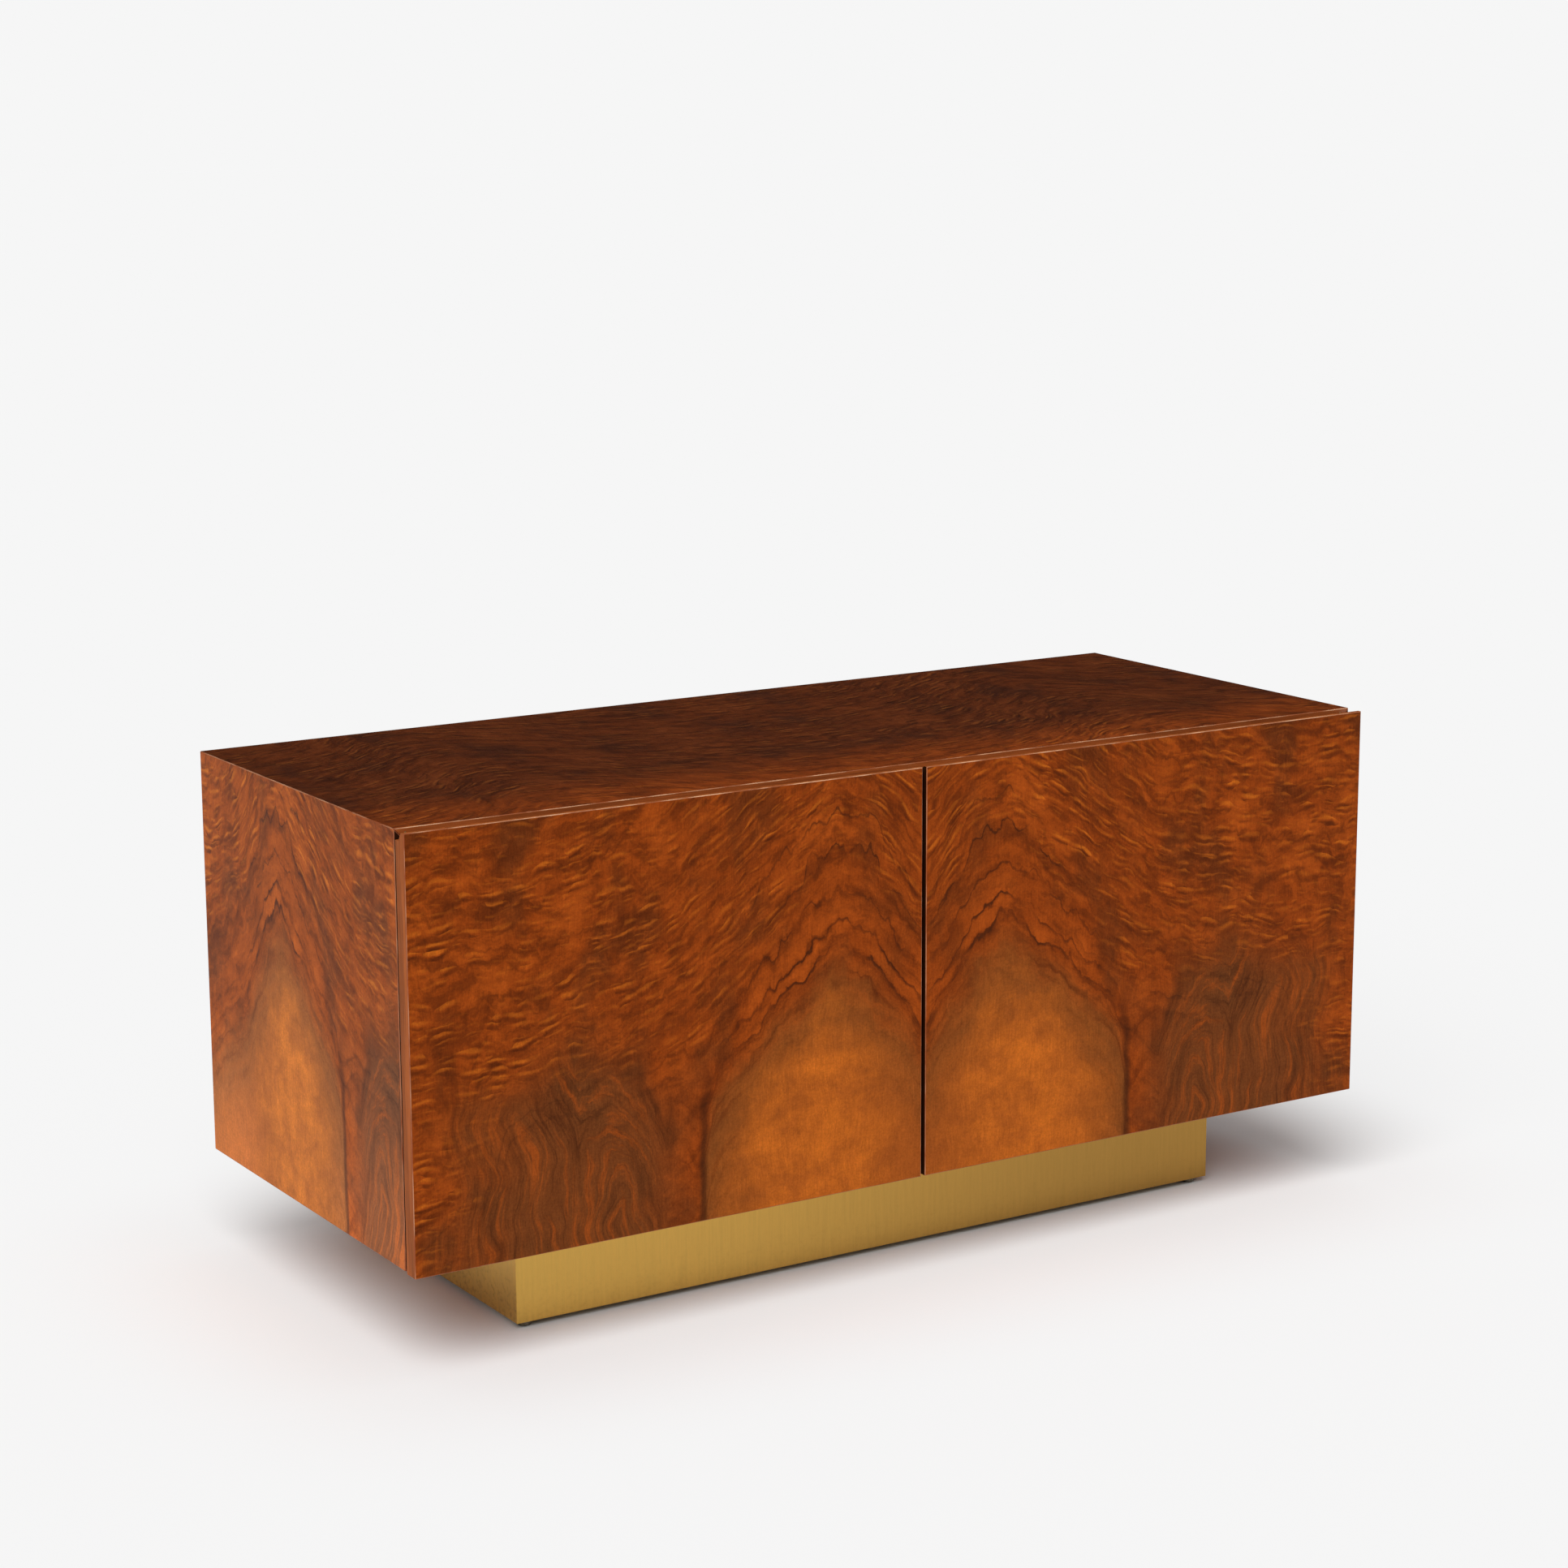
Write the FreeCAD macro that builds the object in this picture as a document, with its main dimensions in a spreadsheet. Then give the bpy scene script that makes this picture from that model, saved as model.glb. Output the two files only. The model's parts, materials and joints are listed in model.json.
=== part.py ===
import FreeCAD, Part
from collections import defaultdict
import math
import os
import re
import Sketcher

# Low two-door cabinet: a mitred walnut case on a brass-clad plinth.
# X runs to the right, Y to the back and Z up. The origin is on the floor, in the middle of the outer box.
# Driving dimensions in millimetres, kept in the document's sheet under these names.
SIZES = {
    # Case of four mitred boards
    "case_width": 1219,
    "case_depth": 482,
    "case_height": 451,
    "board_thick": 19,
    "spline_thick": 4,
    "spline_width": 12,
    "spline_clearance": 0.3,
    "partition_thick": 19,
    "dado_depth": 6,
    "rabbet_depth": 9,
    "back_thick": 6,
    "back_inset": 3,
    "back_clearance": 0.5,
    "back_screw_radius": 1.7,
    "back_screw_length": 22,
    "back_screw_head_radius": 3.4,
    "back_screw_head": 2,
    "back_screw_margin": 70,
    # Adjustable shelves
    "shelf_thick": 19,
    "shelf_side_clearance": 2,
    "shelf_setback": 30,
    "shelf_back_clearance": 3,
    "peg_radius": 2.4,
    "peg_hole_radius": 2.5,
    "peg_hole_depth": 9.5,
    "peg_sunk": 9,
    "peg_reach": 10,
    "peg_collar_radius": 4,
    "peg_collar": 1.2,
    "peg_pitch": 32,
    "peg_hole_count": 5,
    "peg_front_inset": 75,
    "peg_back_inset": 75,
    # Doors with a coved finger pull along the top
    "door_thick": 19,
    "door_gap": 3,
    "door_top_drop": 1,
    "door_bottom_drop": 2,
    "centre_gap": 5,
    "lip_thick": 5,
    "cove_run": 6,
    "cove_drop": 9,
    "cove_radius": 15,
    "door_chamfer": 2,
    "bumper_radius": 4,
    "bumper_air": 0.2,
    "bumper_drop": 14,
    "bumper_inset": 14,
    # Concealed cup hinges
    "hinge_inset": 96,
    "cup_inset": 2,
    "cup_radius": 17.5,
    "cup_depth": 11.5,
    "cup_wall": 1.1,
    "cup_bore_clearance": 0.2,
    "ear_thick": 1.2,
    "ear_start": 12,
    "ear_end": 31,
    "ear_width": 18,
    "ear_shift": 6,
    "cup_screw_reach": 24,
    "cup_screw_radius": 1.8,
    "cup_screw_length": 12,
    "cup_screw_head_radius": 3.4,
    "cup_screw_head": 1.2,
    "rear_pin_in": 31,
    "rear_pin_back": 25.5,
    "front_pin_in": 11,
    "front_pin_forward": 5.85,
    "rim_pin_out": 9.8,
    "rim_pin_deep": 1.6,
    "floor_pin_out": 7.7,
    "floor_pin_deep": 6.4,
    "outer_bend_in": 9.5,
    "outer_bend_forward": 6.7,
    "inner_bend_in": 6.5,
    "inner_bend_forward": 11,
    "pin_radius": 1.1,
    "pin_clearance": 0.05,
    "open_pin_clearance": 1.2,
    "open_eye_radius": 3.4,
    "pin_end_cover": 0.5,
    "link_half": 2.2,
    "inner_link_width": 6,
    "layer_gap": 0.2,
    "cheek_thick": 1.6,
    "outer_link_thick": 1.6,
    "lug_half": 2.4,
    "arm_half": 2.8,
    "arm_base_in": 8,
    "arm_knee_back": 50,
    "arm_end_back": 76,
    "arm_web": 1.6,
    "plate_length": 30,
    "plate_half": 6,
    "plate_lead": 2,
    "wing_thick": 2,
    "wing_half": 22,
    "wing_length": 13,
    "wing_screw_reach": 15,
    "plate_screw_radius": 2,
    "plate_screw_length": 15,
    "plate_screw_head_radius": 3.8,
    "plate_screw_head": 1.8,
    "arm_screw_radius": 2,
    "arm_screw_head_radius": 3,
    "arm_screw_head": 1.4,
    # Magnetic catches
    "catch_inset": 12,
    "catch_length": 60,
    "catch_depth": 15,
    "catch_height": 12,
    "catch_setback": 0.5,
    "catch_back_wall": 2,
    "pole_length": 40,
    "pole_thick": 1.5,
    "magnet_thick": 5,
    "strike_thick": 1.2,
    "strike_length": 44,
    "strike_height": 12,
    "catch_air": 0.2,
    "catch_screw_radius": 1.6,
    "catch_screw_bite": 10,
    "catch_screw_head_radius": 3,
    "catch_screw_head": 1.8,
    "strike_screw_radius": 1.6,
    "strike_screw_length": 12,
    "strike_screw_head_radius": 2.2,
    "strike_screw_head": 0.8,
    # Plinth of wood rails under brass sheet
    "plinth_end_inset": 152,
    "plinth_inset": 55,
    "plinth_height": 103,
    "rail_thick": 19,
    "brass_thick": 1,
    "block_leg": 45,
    "block_height": 50,
    "block_screw_inset": 13,
    "block_screw_radius": 2.2,
    "block_screw_bite": 13,
    "block_screw_head_radius": 4.2,
    "block_screw_head": 2.4,
    # Nail glides
    "glide_height": 8,
    "glide_radius": 9,
    "glide_flat_radius": 5,
    "glide_dome": 4.5,
    "glide_dome_radius": 6,
    "glide_inset": 15,
    "glide_nail_radius": 1.3,
    "glide_nail_length": 22,
    # Room round a screw or nail in its hole
    "screw_clearance": 0.05,
    # How far a cutting tool runs past the face that it opens
    "overrun": 2,
}

# Places worked out from the driving dimensions.
PLACES = {
    "overall_depth": "case_depth + door_gap + door_thick",
    "case_back": "overall_depth / 2",
    "case_front": "case_back - case_depth",
    "door_back": "case_front - door_gap",
    "plinth_bottom": "glide_height",
    "case_bottom": "plinth_bottom + plinth_height",
    "case_top": "case_bottom + case_height",
    "case_middle": "case_bottom + case_height / 2",
    "spline_side": "spline_thick / 2 * sqrt(0.5)",
    "spline_groove": "(spline_width / 2 + spline_clearance) * sqrt(0.5)",
    "inner_floor": "case_bottom + board_thick",
    "inner_ceiling": "case_top - board_thick",
    "back_front": "case_back - back_inset - back_thick",
    "bay_outer": "case_width / 2 - board_thick",
    "bay_inner": "partition_thick / 2",
    "peg_front": "case_front + peg_front_inset",
    "peg_back": "case_back - peg_back_inset",
    "peg_span": "(peg_hole_count - 1) * peg_pitch",
    "shelf_bottom": "case_middle + peg_radius",
    "door_bottom": "case_bottom - door_bottom_drop",
    "door_height": "case_height + door_bottom_drop - door_top_drop",
    "door_width": "(case_width - centre_gap) / 2",
    "cup_in": "board_thick + cup_inset",
    "cup_inner_radius": "cup_radius - cup_wall",
    "cup_floor": "door_back - cup_depth + cup_wall",
    "rim_pin_reach": "sqrt(cup_radius * cup_radius - rim_pin_out * rim_pin_out) - pin_end_cover",
    "cheek_low": "inner_link_width / 2 + layer_gap",
    "cheek_high": "cheek_low + cheek_thick",
    "outer_low": "cheek_high + layer_gap",
    "outer_high": "outer_low + outer_link_thick",
    "arm_foot_in": "board_thick + arm_base_in - arm_half",
    "arm_screw_length": "arm_foot_in + arm_web - board_thick",
    "plate_back": "case_front + arm_end_back + plate_lead",
    "plate_front": "plate_back - plate_length",
    "plate_middle": "plate_back - plate_length / 2",
    "catch_middle": "bay_inner + catch_inset + catch_length / 2",
    "catch_front": "case_front + catch_setback",
    "catch_level": "inner_ceiling - catch_height / 2",
    "catch_screw_length": "catch_height + catch_screw_bite",
    "pole_tip": "door_back + strike_thick + catch_air",
    "pole_end": "catch_front + catch_depth - catch_back_wall",
    "plinth_width": "case_width - 2 * plinth_end_inset",
    "rail_width": "plinth_width - 2 * brass_thick",
    "plinth_front": "case_front + plinth_inset",
    "plinth_back": "case_back - plinth_inset",
    "rail_front": "plinth_front + brass_thick",
    "rail_inner_front": "rail_front + rail_thick",
    "rail_inner_back": "plinth_back - rail_thick",
    "rail_inner_end": "rail_width / 2 - rail_thick",
    "block_bottom": "case_bottom - block_height",
    "block_screw_length": "block_height + block_screw_bite",
}

# Left pieces have hand 1, right ones hand -1: X measured inwards from the outer side is turned by it.
HANDS = {"left": 1, "right": -1}
# The two hinge heights of each door.
HINGE_LEVELS = ("case_bottom + hinge_inset", "case_top - hinge_inset")
# Upper and lower half of a hinge, on each side of its middle plane.
HALVES = (1, -1)

X_AXIS = FreeCAD.Vector(1, 0, 0)
Y_AXIS = FreeCAD.Vector(0, 1, 0)
Z_AXIS = FreeCAD.Vector(0, 0, 1)
# Turns that point a cylinder's own Z along another direction.
POINTING = {
    "+X": FreeCAD.Rotation(Y_AXIS, 90),
    "-X": FreeCAD.Rotation(Y_AXIS, -90),
    "+Y": FreeCAD.Rotation(X_AXIS, -90),
    "-Y": FreeCAD.Rotation(X_AXIS, 90),
    "+Z": FreeCAD.Rotation(),
    "-Z": FreeCAD.Rotation(X_AXIS, 180),
}

doc = FreeCAD.newDocument("low_cabinet")
sheet = doc.addObject("Spreadsheet::Sheet", "Sizes")
nodes = []
# Screw and nail holes, by the name of the piece that they go into.
holes = defaultdict(list)


def fill_sheet():
    """Write each driving dimension into the sheet, with its name beside it."""
    for row, (name, size) in enumerate(SIZES.items(), start=1):
        sheet.set(f"A{row}", name)
        sheet.set(f"B{row}", str(size))
        sheet.setAlias(f"B{row}", name)
    doc.recompute()


def formula(text):
    """Turn a sum of named sizes and places into an expression on the sheet."""
    def swap(match):
        word = match.group(0)
        if word in PLACES:
            return "(" + formula(PLACES[word]) + ")"
        if word in SIZES:
            return "Sizes." + word
        return word
    return re.sub(r"[a-z_]+", swap, text)


def value(text):
    """Present value of a sum of named sizes, for a sketch's first guess."""
    return float(sheet.evalExpression(formula(text)))


def bind(thing, field, text):
    thing.setExpression(field, formula(text))


def place(thing, x, y, z, turn=None):
    """Put an object at a place in named sizes, after turning it."""
    thing.Placement = FreeCAD.Placement(FreeCAD.Vector(), turn or FreeCAD.Rotation())
    for axis, text in zip("xyz", (x, y, z)):
        bind(thing, f"Placement.Base.{axis}", text)
    return thing


def keep(name, thing):
    """Name a finished piece as one node of the part."""
    thing.Label = name
    nodes.append(thing)
    return thing


def block(name, low, size):
    """Box from its lowest corner and its size along X, Y and Z."""
    box = doc.addObject("Part::Box", name)
    for field, text in zip(("Length", "Width", "Height"), size):
        bind(box, field, text)
    return place(box, *low)


def rod(name, start, pointing, radius, length):
    """Cylinder from the middle of its first end."""
    cylinder = doc.addObject("Part::Cylinder", name)
    bind(cylinder, "Radius", radius)
    bind(cylinder, "Height", length)
    return place(cylinder, *start, POINTING[pointing])


def group(name, pieces):
    compound = doc.addObject("Part::Compound", name)
    compound.Links = pieces
    return compound


def fuse(name, pieces):
    union = doc.addObject("Part::MultiFuse", name)
    union.Shapes = pieces
    return union


def cut(name, base, tools):
    difference = doc.addObject("Part::Cut", name)
    difference.Base = base
    difference.Tool = tools[0] if len(tools) == 1 else group(name + "_tools", tools)
    return difference


def drill(piece, kind, seat, pointing):
    """Note a hole for one kind of screw or nail, to be cut into the named piece at the end."""
    radius = kind + "_radius + screw_clearance"
    depth = kind + "_length + screw_clearance"
    holes[piece].append(rod(kind + "_hole", seat, pointing, radius, depth))


def screw(kind, seat, pointing, pieces):
    """Screw whose head stands on its seat and whose shank runs along its pointing into the named pieces."""
    back = {"+": "-", "-": "+"}[pointing[0]] + pointing[1]
    shank = rod(kind + "_shank", seat, pointing, kind + "_radius", kind + "_length")
    head = rod(kind + "_cap", seat, back, kind + "_head_radius", kind + "_head")
    for piece in pieces:
        drill(piece, kind, seat, pointing)
    return fuse(kind, [shank, head])


def cut_holes():
    """Cut the noted screw and nail holes into the finished pieces."""
    for index, node in enumerate(nodes):
        name = node.Label
        if name in holes:
            node.Label = name + "_undrilled"
            nodes[index] = cut(name, node, holes[name])
            nodes[index].Label = name


def fix_vertex(sketch, edge, end, x, y):
    """Tie one end of a sketch edge to the sketch's origin by two named distances."""
    for kind, text in (("DistanceX", x), ("DistanceY", y)):
        index = sketch.addConstraint(Sketcher.Constraint(kind, -1, 1, edge, end, value(text)))
        bind(sketch, f"Constraints[{index}]", text)


def arc_between(start, finish, radius, bulge):
    """Arc from start to finish that bulges to the left of its travel (1) or to the right (-1)."""
    chord = finish - start
    left = FreeCAD.Vector(-chord.y, chord.x, 0).normalize()
    rise = radius - math.sqrt(radius ** 2 - (chord.Length / 2) ** 2)
    return Part.Arc(start, (start + finish) / 2 + left * rise * bulge, finish)


def draw(sketch, points, closed=True):
    """Draw a path through points in named sizes. A point may carry the radius and bulge of its arc."""
    count = len(points)
    corners = [FreeCAD.Vector(value(point[0]), value(point[1]), 0) for point in points]
    ends = []
    for index in range(count if closed else count - 1):
        start, finish = corners[index], corners[(index + 1) % count]
        if len(points[index]) == 2:
            edge = sketch.addGeometry(Part.LineSegment(start, finish))
            ends.append((edge, 1, 2))
            continue
        radius, bulge = points[index][2:]
        edge = sketch.addGeometry(arc_between(start, finish, value(radius), bulge))
        forward = sketch.Geometry[edge].StartPoint.distanceToPoint(start) < value(radius) / 100
        ends.append((edge, 1, 2) if forward else (edge, 2, 1))
        limit = sketch.addConstraint(Sketcher.Constraint("Radius", edge, value(radius)))
        bind(sketch, f"Constraints[{limit}]", radius)
    joints = zip(ends, ends[1:] + ends[:1]) if closed else zip(ends, ends[1:])
    for (edge, first, last), (following, entry, way_out) in joints:
        sketch.addConstraint(Sketcher.Constraint("Coincident", edge, last, following, entry))
    for (edge, first, last), point in zip(ends, points):
        fix_vertex(sketch, edge, first, point[0], point[1])
    if not closed:
        fix_vertex(sketch, ends[-1][0], ends[-1][2], points[-1][0], points[-1][1])


def plane_sketch(body, name, role, lift=None):
    """Sketch on one of the body's own planes, lifted off it by a named distance."""
    sketch = body.newObject("Sketcher::SketchObject", name)
    planes = {feature.Role: feature for feature in body.Origin.OriginFeatures}
    sketch.AttachmentSupport = [(planes[role], "")]
    sketch.MapMode = "FlatFace"
    if lift:
        bind(sketch, "AttachmentOffset.Base.z", lift)
    return sketch


def pad(body, name, sketch, length, backwards=False):
    feature = body.newObject("PartDesign::Pad", name)
    feature.Profile = sketch
    feature.Reversed = backwards
    bind(feature, "Length", length)
    return feature


def pocket(body, name, sketch, depth):
    """Pocket on the side that the sketch faces."""
    feature = body.newObject("PartDesign::Pocket", name)
    feature.Profile = sketch
    feature.Reversed = True
    bind(feature, "Length", depth)
    return feature


def circles(sketch, centres, radius):
    for x, y in centres:
        middle = FreeCAD.Vector(value(x), value(y), 0)
        edge = sketch.addGeometry(Part.Circle(middle, Z_AXIS, value(radius)))
        limit = sketch.addConstraint(Sketcher.Constraint("Radius", edge, value(radius)))
        bind(sketch, f"Constraints[{limit}]", radius)
        fix_vertex(sketch, edge, 3, x, y)


def bent_plate(name, path, half_width, low, thick):
    """Flat strip with round ends and bends along a path in plan, from height low upwards."""
    sketch = doc.addObject("Sketcher::SketchObject", name + "_path")
    draw(sketch, path, closed=False)
    strip = doc.addObject("Part::Offset2D", name + "_outline")
    strip.Source = sketch
    strip.Mode = "Pipe"
    strip.Join = "Arc"
    strip.Fill = True
    bind(strip, "Value", half_width)
    plate = doc.addObject("Part::Extrusion", name)
    plate.Base = strip
    plate.DirMode = "Custom"
    plate.Dir = Z_AXIS
    plate.Solid = True
    bind(plate, "LengthFwd", thick)
    bind(plate, "Placement.Base.z", low)
    return plate


def half_low(level, half, low, high):
    """Lower face of a layer that lies between two distances above or below a hinge's middle."""
    return f"{level} + {low}" if half > 0 else f"{level} - ({high})"


def mitred_board(name, length, turn, middle, dado):
    """Case board, drawn with its outer face up: mitred and grooved ends, back rabbet, centre dado."""
    body = doc.addObject("PartDesign::Body", name)
    half = f"({length}) / 2"
    profile = []
    for side in (-1, 1):
        mitre = [
            (f"{side} * ({half})", "0"),
            (f"{side} * ({half} - board_thick / 2 + spline_side)", "spline_side - board_thick / 2"),
            (f"{side} * ({half} - board_thick / 2 + spline_side - spline_groove)",
             "spline_side + spline_groove - board_thick / 2"),
            (f"{side} * ({half} - board_thick / 2 - spline_side - spline_groove)",
             "spline_groove - spline_side - board_thick / 2"),
            (f"{side} * ({half} - board_thick / 2 - spline_side)", "-spline_side - board_thick / 2"),
            (f"{side} * ({half} - board_thick)", "-board_thick"),
        ]
        profile += mitre if side < 0 else mitre[::-1]
    if dado:
        middle_of_list = len(profile) // 2
        profile[middle_of_list:middle_of_list] = [
            ("-partition_thick / 2", "-board_thick"),
            ("-partition_thick / 2", "dado_depth - board_thick"),
            ("partition_thick / 2", "dado_depth - board_thick"),
            ("partition_thick / 2", "-board_thick"),
        ]
    outline = plane_sketch(body, name + "_outline", "XZ_Plane")
    draw(outline, profile)
    pad(body, name + "_pad", outline, "case_depth")
    rabbet = plane_sketch(body, name + "_rabbet_outline", "XZ_Plane")
    draw(rabbet, [
        (f"-({half})", "-board_thick"),
        (half, "-board_thick"),
        (half, "rabbet_depth - board_thick"),
        (f"-({half})", "rabbet_depth - board_thick"),
    ])
    pocket(body, name + "_rabbet", rabbet, "back_inset + back_thick")
    place(body, *middle, FreeCAD.Rotation(Y_AXIS, turn))
    return body


def drill_peg_rows(body):
    """Front and back rows of shelf peg holes in the inner face of a side board."""
    sketch = plane_sketch(body, body.Name + "_peg_outline", "XY_Plane", "-board_thick")
    rows = ("peg_front_inset - case_depth", "-peg_back_inset")
    circles(sketch, [("-peg_span / 2", row) for row in rows], "peg_hole_radius")
    first = pocket(body, body.Name + "_peg_holes", sketch, "peg_hole_depth")
    row = body.newObject("PartDesign::LinearPattern", body.Name + "_peg_rows")
    row.Originals = [first]
    axes = {feature.Role: feature for feature in body.Origin.OriginFeatures}
    row.Direction = (axes["X_Axis"], [""])
    bind(row, "Length", "peg_span")
    bind(row, "Occurrences", "peg_hole_count")
    body.Tip = row


def make_case_boards():
    across = ("case_width", True)
    upright = ("case_height", False)
    boards = {
        "top_board": (across, 0, ("0", "case_back", "case_top")),
        "bottom_board": (across, 180, ("0", "case_back", "case_bottom")),
        "left_side_board": (upright, -90, ("-case_width / 2", "case_back", "case_middle")),
        "right_side_board": (upright, 90, ("case_width / 2", "case_back", "case_middle")),
    }
    for name, ((length, dado), turn, middle) in boards.items():
        body = mitred_board(name, length, turn, middle, dado)
        if not dado:
            drill_peg_rows(body)
        keep(name, body)


def make_splines():
    """Loose splines across the four mitres, as long as the boards are deep in front of the rabbet."""
    splines = []
    for side in (-1, 1):
        for level, lean in (("case_bottom + board_thick / 2", 1), ("case_top - board_thick / 2", -1)):
            body = doc.addObject("PartDesign::Body", "mitre_spline")
            outline = plane_sketch(body, "mitre_spline_outline", "XZ_Plane")
            draw(outline, [
                ("-spline_width / 2", "-spline_thick / 2"),
                ("spline_width / 2", "-spline_thick / 2"),
                ("spline_width / 2", "spline_thick / 2"),
                ("-spline_width / 2", "spline_thick / 2"),
            ])
            pad(body, "mitre_spline_pad", outline, "case_depth - back_inset - back_thick")
            middle = f"{side} * (case_width / 2 - board_thick / 2)"
            turn = FreeCAD.Rotation(Y_AXIS, -45 * side * lean)
            splines.append(place(body, middle, "back_front", level, turn))
    keep("mitre_splines", group("mitre_splines", splines))


def make_partition():
    sheet_of_wood = block(
        "partition_blank",
        ("-bay_inner", "case_front", "inner_floor - dado_depth"),
        ("partition_thick", "back_front - case_front", "inner_ceiling - inner_floor + 2 * dado_depth"),
    )
    peg_holes = [
        rod("peg_hole", ("-bay_inner - overrun", row, f"case_middle - peg_span / 2 + {step} * peg_pitch"),
            "+X", "peg_hole_radius", "partition_thick + 2 * overrun")
        for row in ("peg_front", "peg_back")
        for step in range(SIZES["peg_hole_count"])
    ]
    keep("centre_partition", cut("centre_partition", sheet_of_wood, peg_holes))


def back_screw_places():
    """Places of the back panel's screws in the middle of the rabbets, with the board each one enters."""
    levels = {
        "bottom_board": "inner_floor - rabbet_depth / 2",
        "top_board": "inner_ceiling + rabbet_depth / 2",
    }
    for board, z in levels.items():
        for side in (-1, 1):
            yield f"{side} * (bay_outer - back_screw_margin)", z, board
            yield f"{side} * bay_outer / 3", z, board
    for side, hand in HANDS.items():
        for z in ("inner_floor + back_screw_margin", "inner_ceiling - back_screw_margin"):
            yield f"{-hand} * (bay_outer + rabbet_depth / 2)", z, side + "_side_board"


def make_back():
    reach = "bay_outer + rabbet_depth - back_clearance"
    panel = block(
        "back_panel",
        (f"-({reach})", "back_front", "inner_floor - rabbet_depth + back_clearance"),
        (f"2 * ({reach})", "back_thick", "inner_ceiling - inner_floor + 2 * (rabbet_depth - back_clearance)"),
    )
    keep("back_panel", panel)
    screws = [
        screw("back_screw", (x, "back_front + back_thick", z), "-Y", ("back_panel", board))
        for x, z, board in back_screw_places()
    ]
    keep("back_screws", group("back_screws", screws))


def make_shelves():
    for side, hand in HANDS.items():
        low = "-bay_outer" if hand > 0 else "bay_inner"
        board = block(
            side + "_shelf",
            (f"{low} + shelf_side_clearance", "case_front + shelf_setback", "shelf_bottom"),
            ("bay_outer - bay_inner - 2 * shelf_side_clearance",
             "back_front - shelf_back_clearance - case_front - shelf_setback", "shelf_thick"),
        )
        keep(side + "_shelf", board)
        pegs = []
        for wall, sign in (("bay_outer", hand), ("bay_inner", -hand)):
            way = "+X" if sign > 0 else "-X"
            face = f"{-hand} * {wall}"
            for row in ("peg_front", "peg_back"):
                tip = (f"{face} - {sign} * peg_sunk", row, "case_middle")
                peg = rod("shelf_peg", tip, way, "peg_radius", "peg_sunk + peg_reach")
                root = (face, row, "case_middle")
                collar = rod("shelf_peg_collar", root, way, "peg_collar_radius", "peg_collar")
                pegs.append(fuse("shelf_peg_piece", [peg, collar]))
        keep(side + "_shelf_pegs", group(side + "_shelf_pegs", pegs))


def make_door(side, hand):
    """Overlay door, drawn in section: a lip and cove along the top make the finger pull."""
    body = doc.addObject("PartDesign::Body", side + "_door")
    section = plane_sketch(body, side + "_door_section", "YZ_Plane")
    draw(section, [
        ("-door_thick", "0"),
        ("-door_chamfer", "0"),
        ("0", "door_chamfer"),
        ("0", "door_height - cove_drop"),
        ("lip_thick + cove_run - door_thick", "door_height - cove_drop", "cove_radius", -1),
        ("lip_thick - door_thick", "door_height"),
        ("-door_thick", "door_height"),
    ])
    pad(body, side + "_door_pad", section, "door_width", backwards=hand < 0)
    bores = plane_sketch(body, side + "_door_bores", "XZ_Plane")
    centres = [(f"{hand} * cup_in", f"{level} - door_bottom") for level in HINGE_LEVELS]
    circles(bores, centres, "cup_radius + cup_bore_clearance")
    pocket(body, side + "_door_cup_bores", bores, "cup_depth + cup_bore_clearance")
    place(body, f"{-hand} * case_width / 2", "door_back", "door_bottom")
    keep(side + "_door", body)


def make_bumpers(side, hand):
    """Soft pads at the free end of a door, which set the gap behind it."""
    x = f"{-hand} * (centre_gap / 2 + bumper_inset)"
    pads = [
        rod("bumper", (x, "door_back", level), "+Y", "bumper_radius", "door_gap - bumper_air")
        for level in ("case_top - bumper_drop", "case_bottom + board_thick / 2")
    ]
    keep(side + "_door_bumpers", group(side + "_door_bumpers", pads))


class Hinge:
    """Places of one door's hinge pivots in plan, on the case side and in the door's cup."""

    def __init__(self, hand):
        self.hand = hand
        inner_face = "board_thick"
        self.rear_pin = self.at(f"{inner_face} + rear_pin_in", "case_front + rear_pin_back")
        self.front_pin = self.at(f"{inner_face} + front_pin_in", "case_front - front_pin_forward")
        self.rim_pin = self.at("cup_in - rim_pin_out", "door_back - rim_pin_deep")
        self.floor_pin = self.at("cup_in - floor_pin_out", "door_back - floor_pin_deep")
        self.outer_bend = self.at(f"{inner_face} + outer_bend_in", "case_front - outer_bend_forward")
        self.inner_bend = self.at(f"{inner_face} + inner_bend_in", "case_front - inner_bend_forward")
        self.arm_knee = self.at(f"{inner_face} + arm_base_in", "case_front + arm_knee_back")
        self.arm_end = self.at(f"{inner_face} + arm_base_in", "case_front + arm_end_back - arm_half")

    def at(self, inwards, y):
        """Plan point from its distance inwards from the cabinet's outer side."""
        return (f"{self.hand} * ({inwards} - case_width / 2)", y)

    def low_x(self, inwards, width):
        """Lower X of a span that starts a distance inwards from the outer side."""
        start = inwards if self.hand > 0 else f"{inwards} + {width}"
        return f"{self.hand} * ({start} - case_width / 2)"

    def way(self, pointing):
        """Pointing along X, inwards for +X on either hand."""
        return pointing if self.hand > 0 else {"+X": "-X", "-X": "+X"}[pointing]


def pin_through(name, point, level, reach, radius):
    """Pin on both sides of a hinge's middle plane."""
    return rod(name, (*point, f"{level} - ({reach})"), "+Z", radius, f"2 * ({reach})")


def pin_pair(name, point, level, low, high, radius):
    """Two short pins on one axis, between two distances above and below a hinge's middle plane."""
    return [
        rod(name, (*point, half_low(level, half, low, high)), "+Z", radius, f"{high} - ({low})")
        for half in HALVES
    ]


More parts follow.
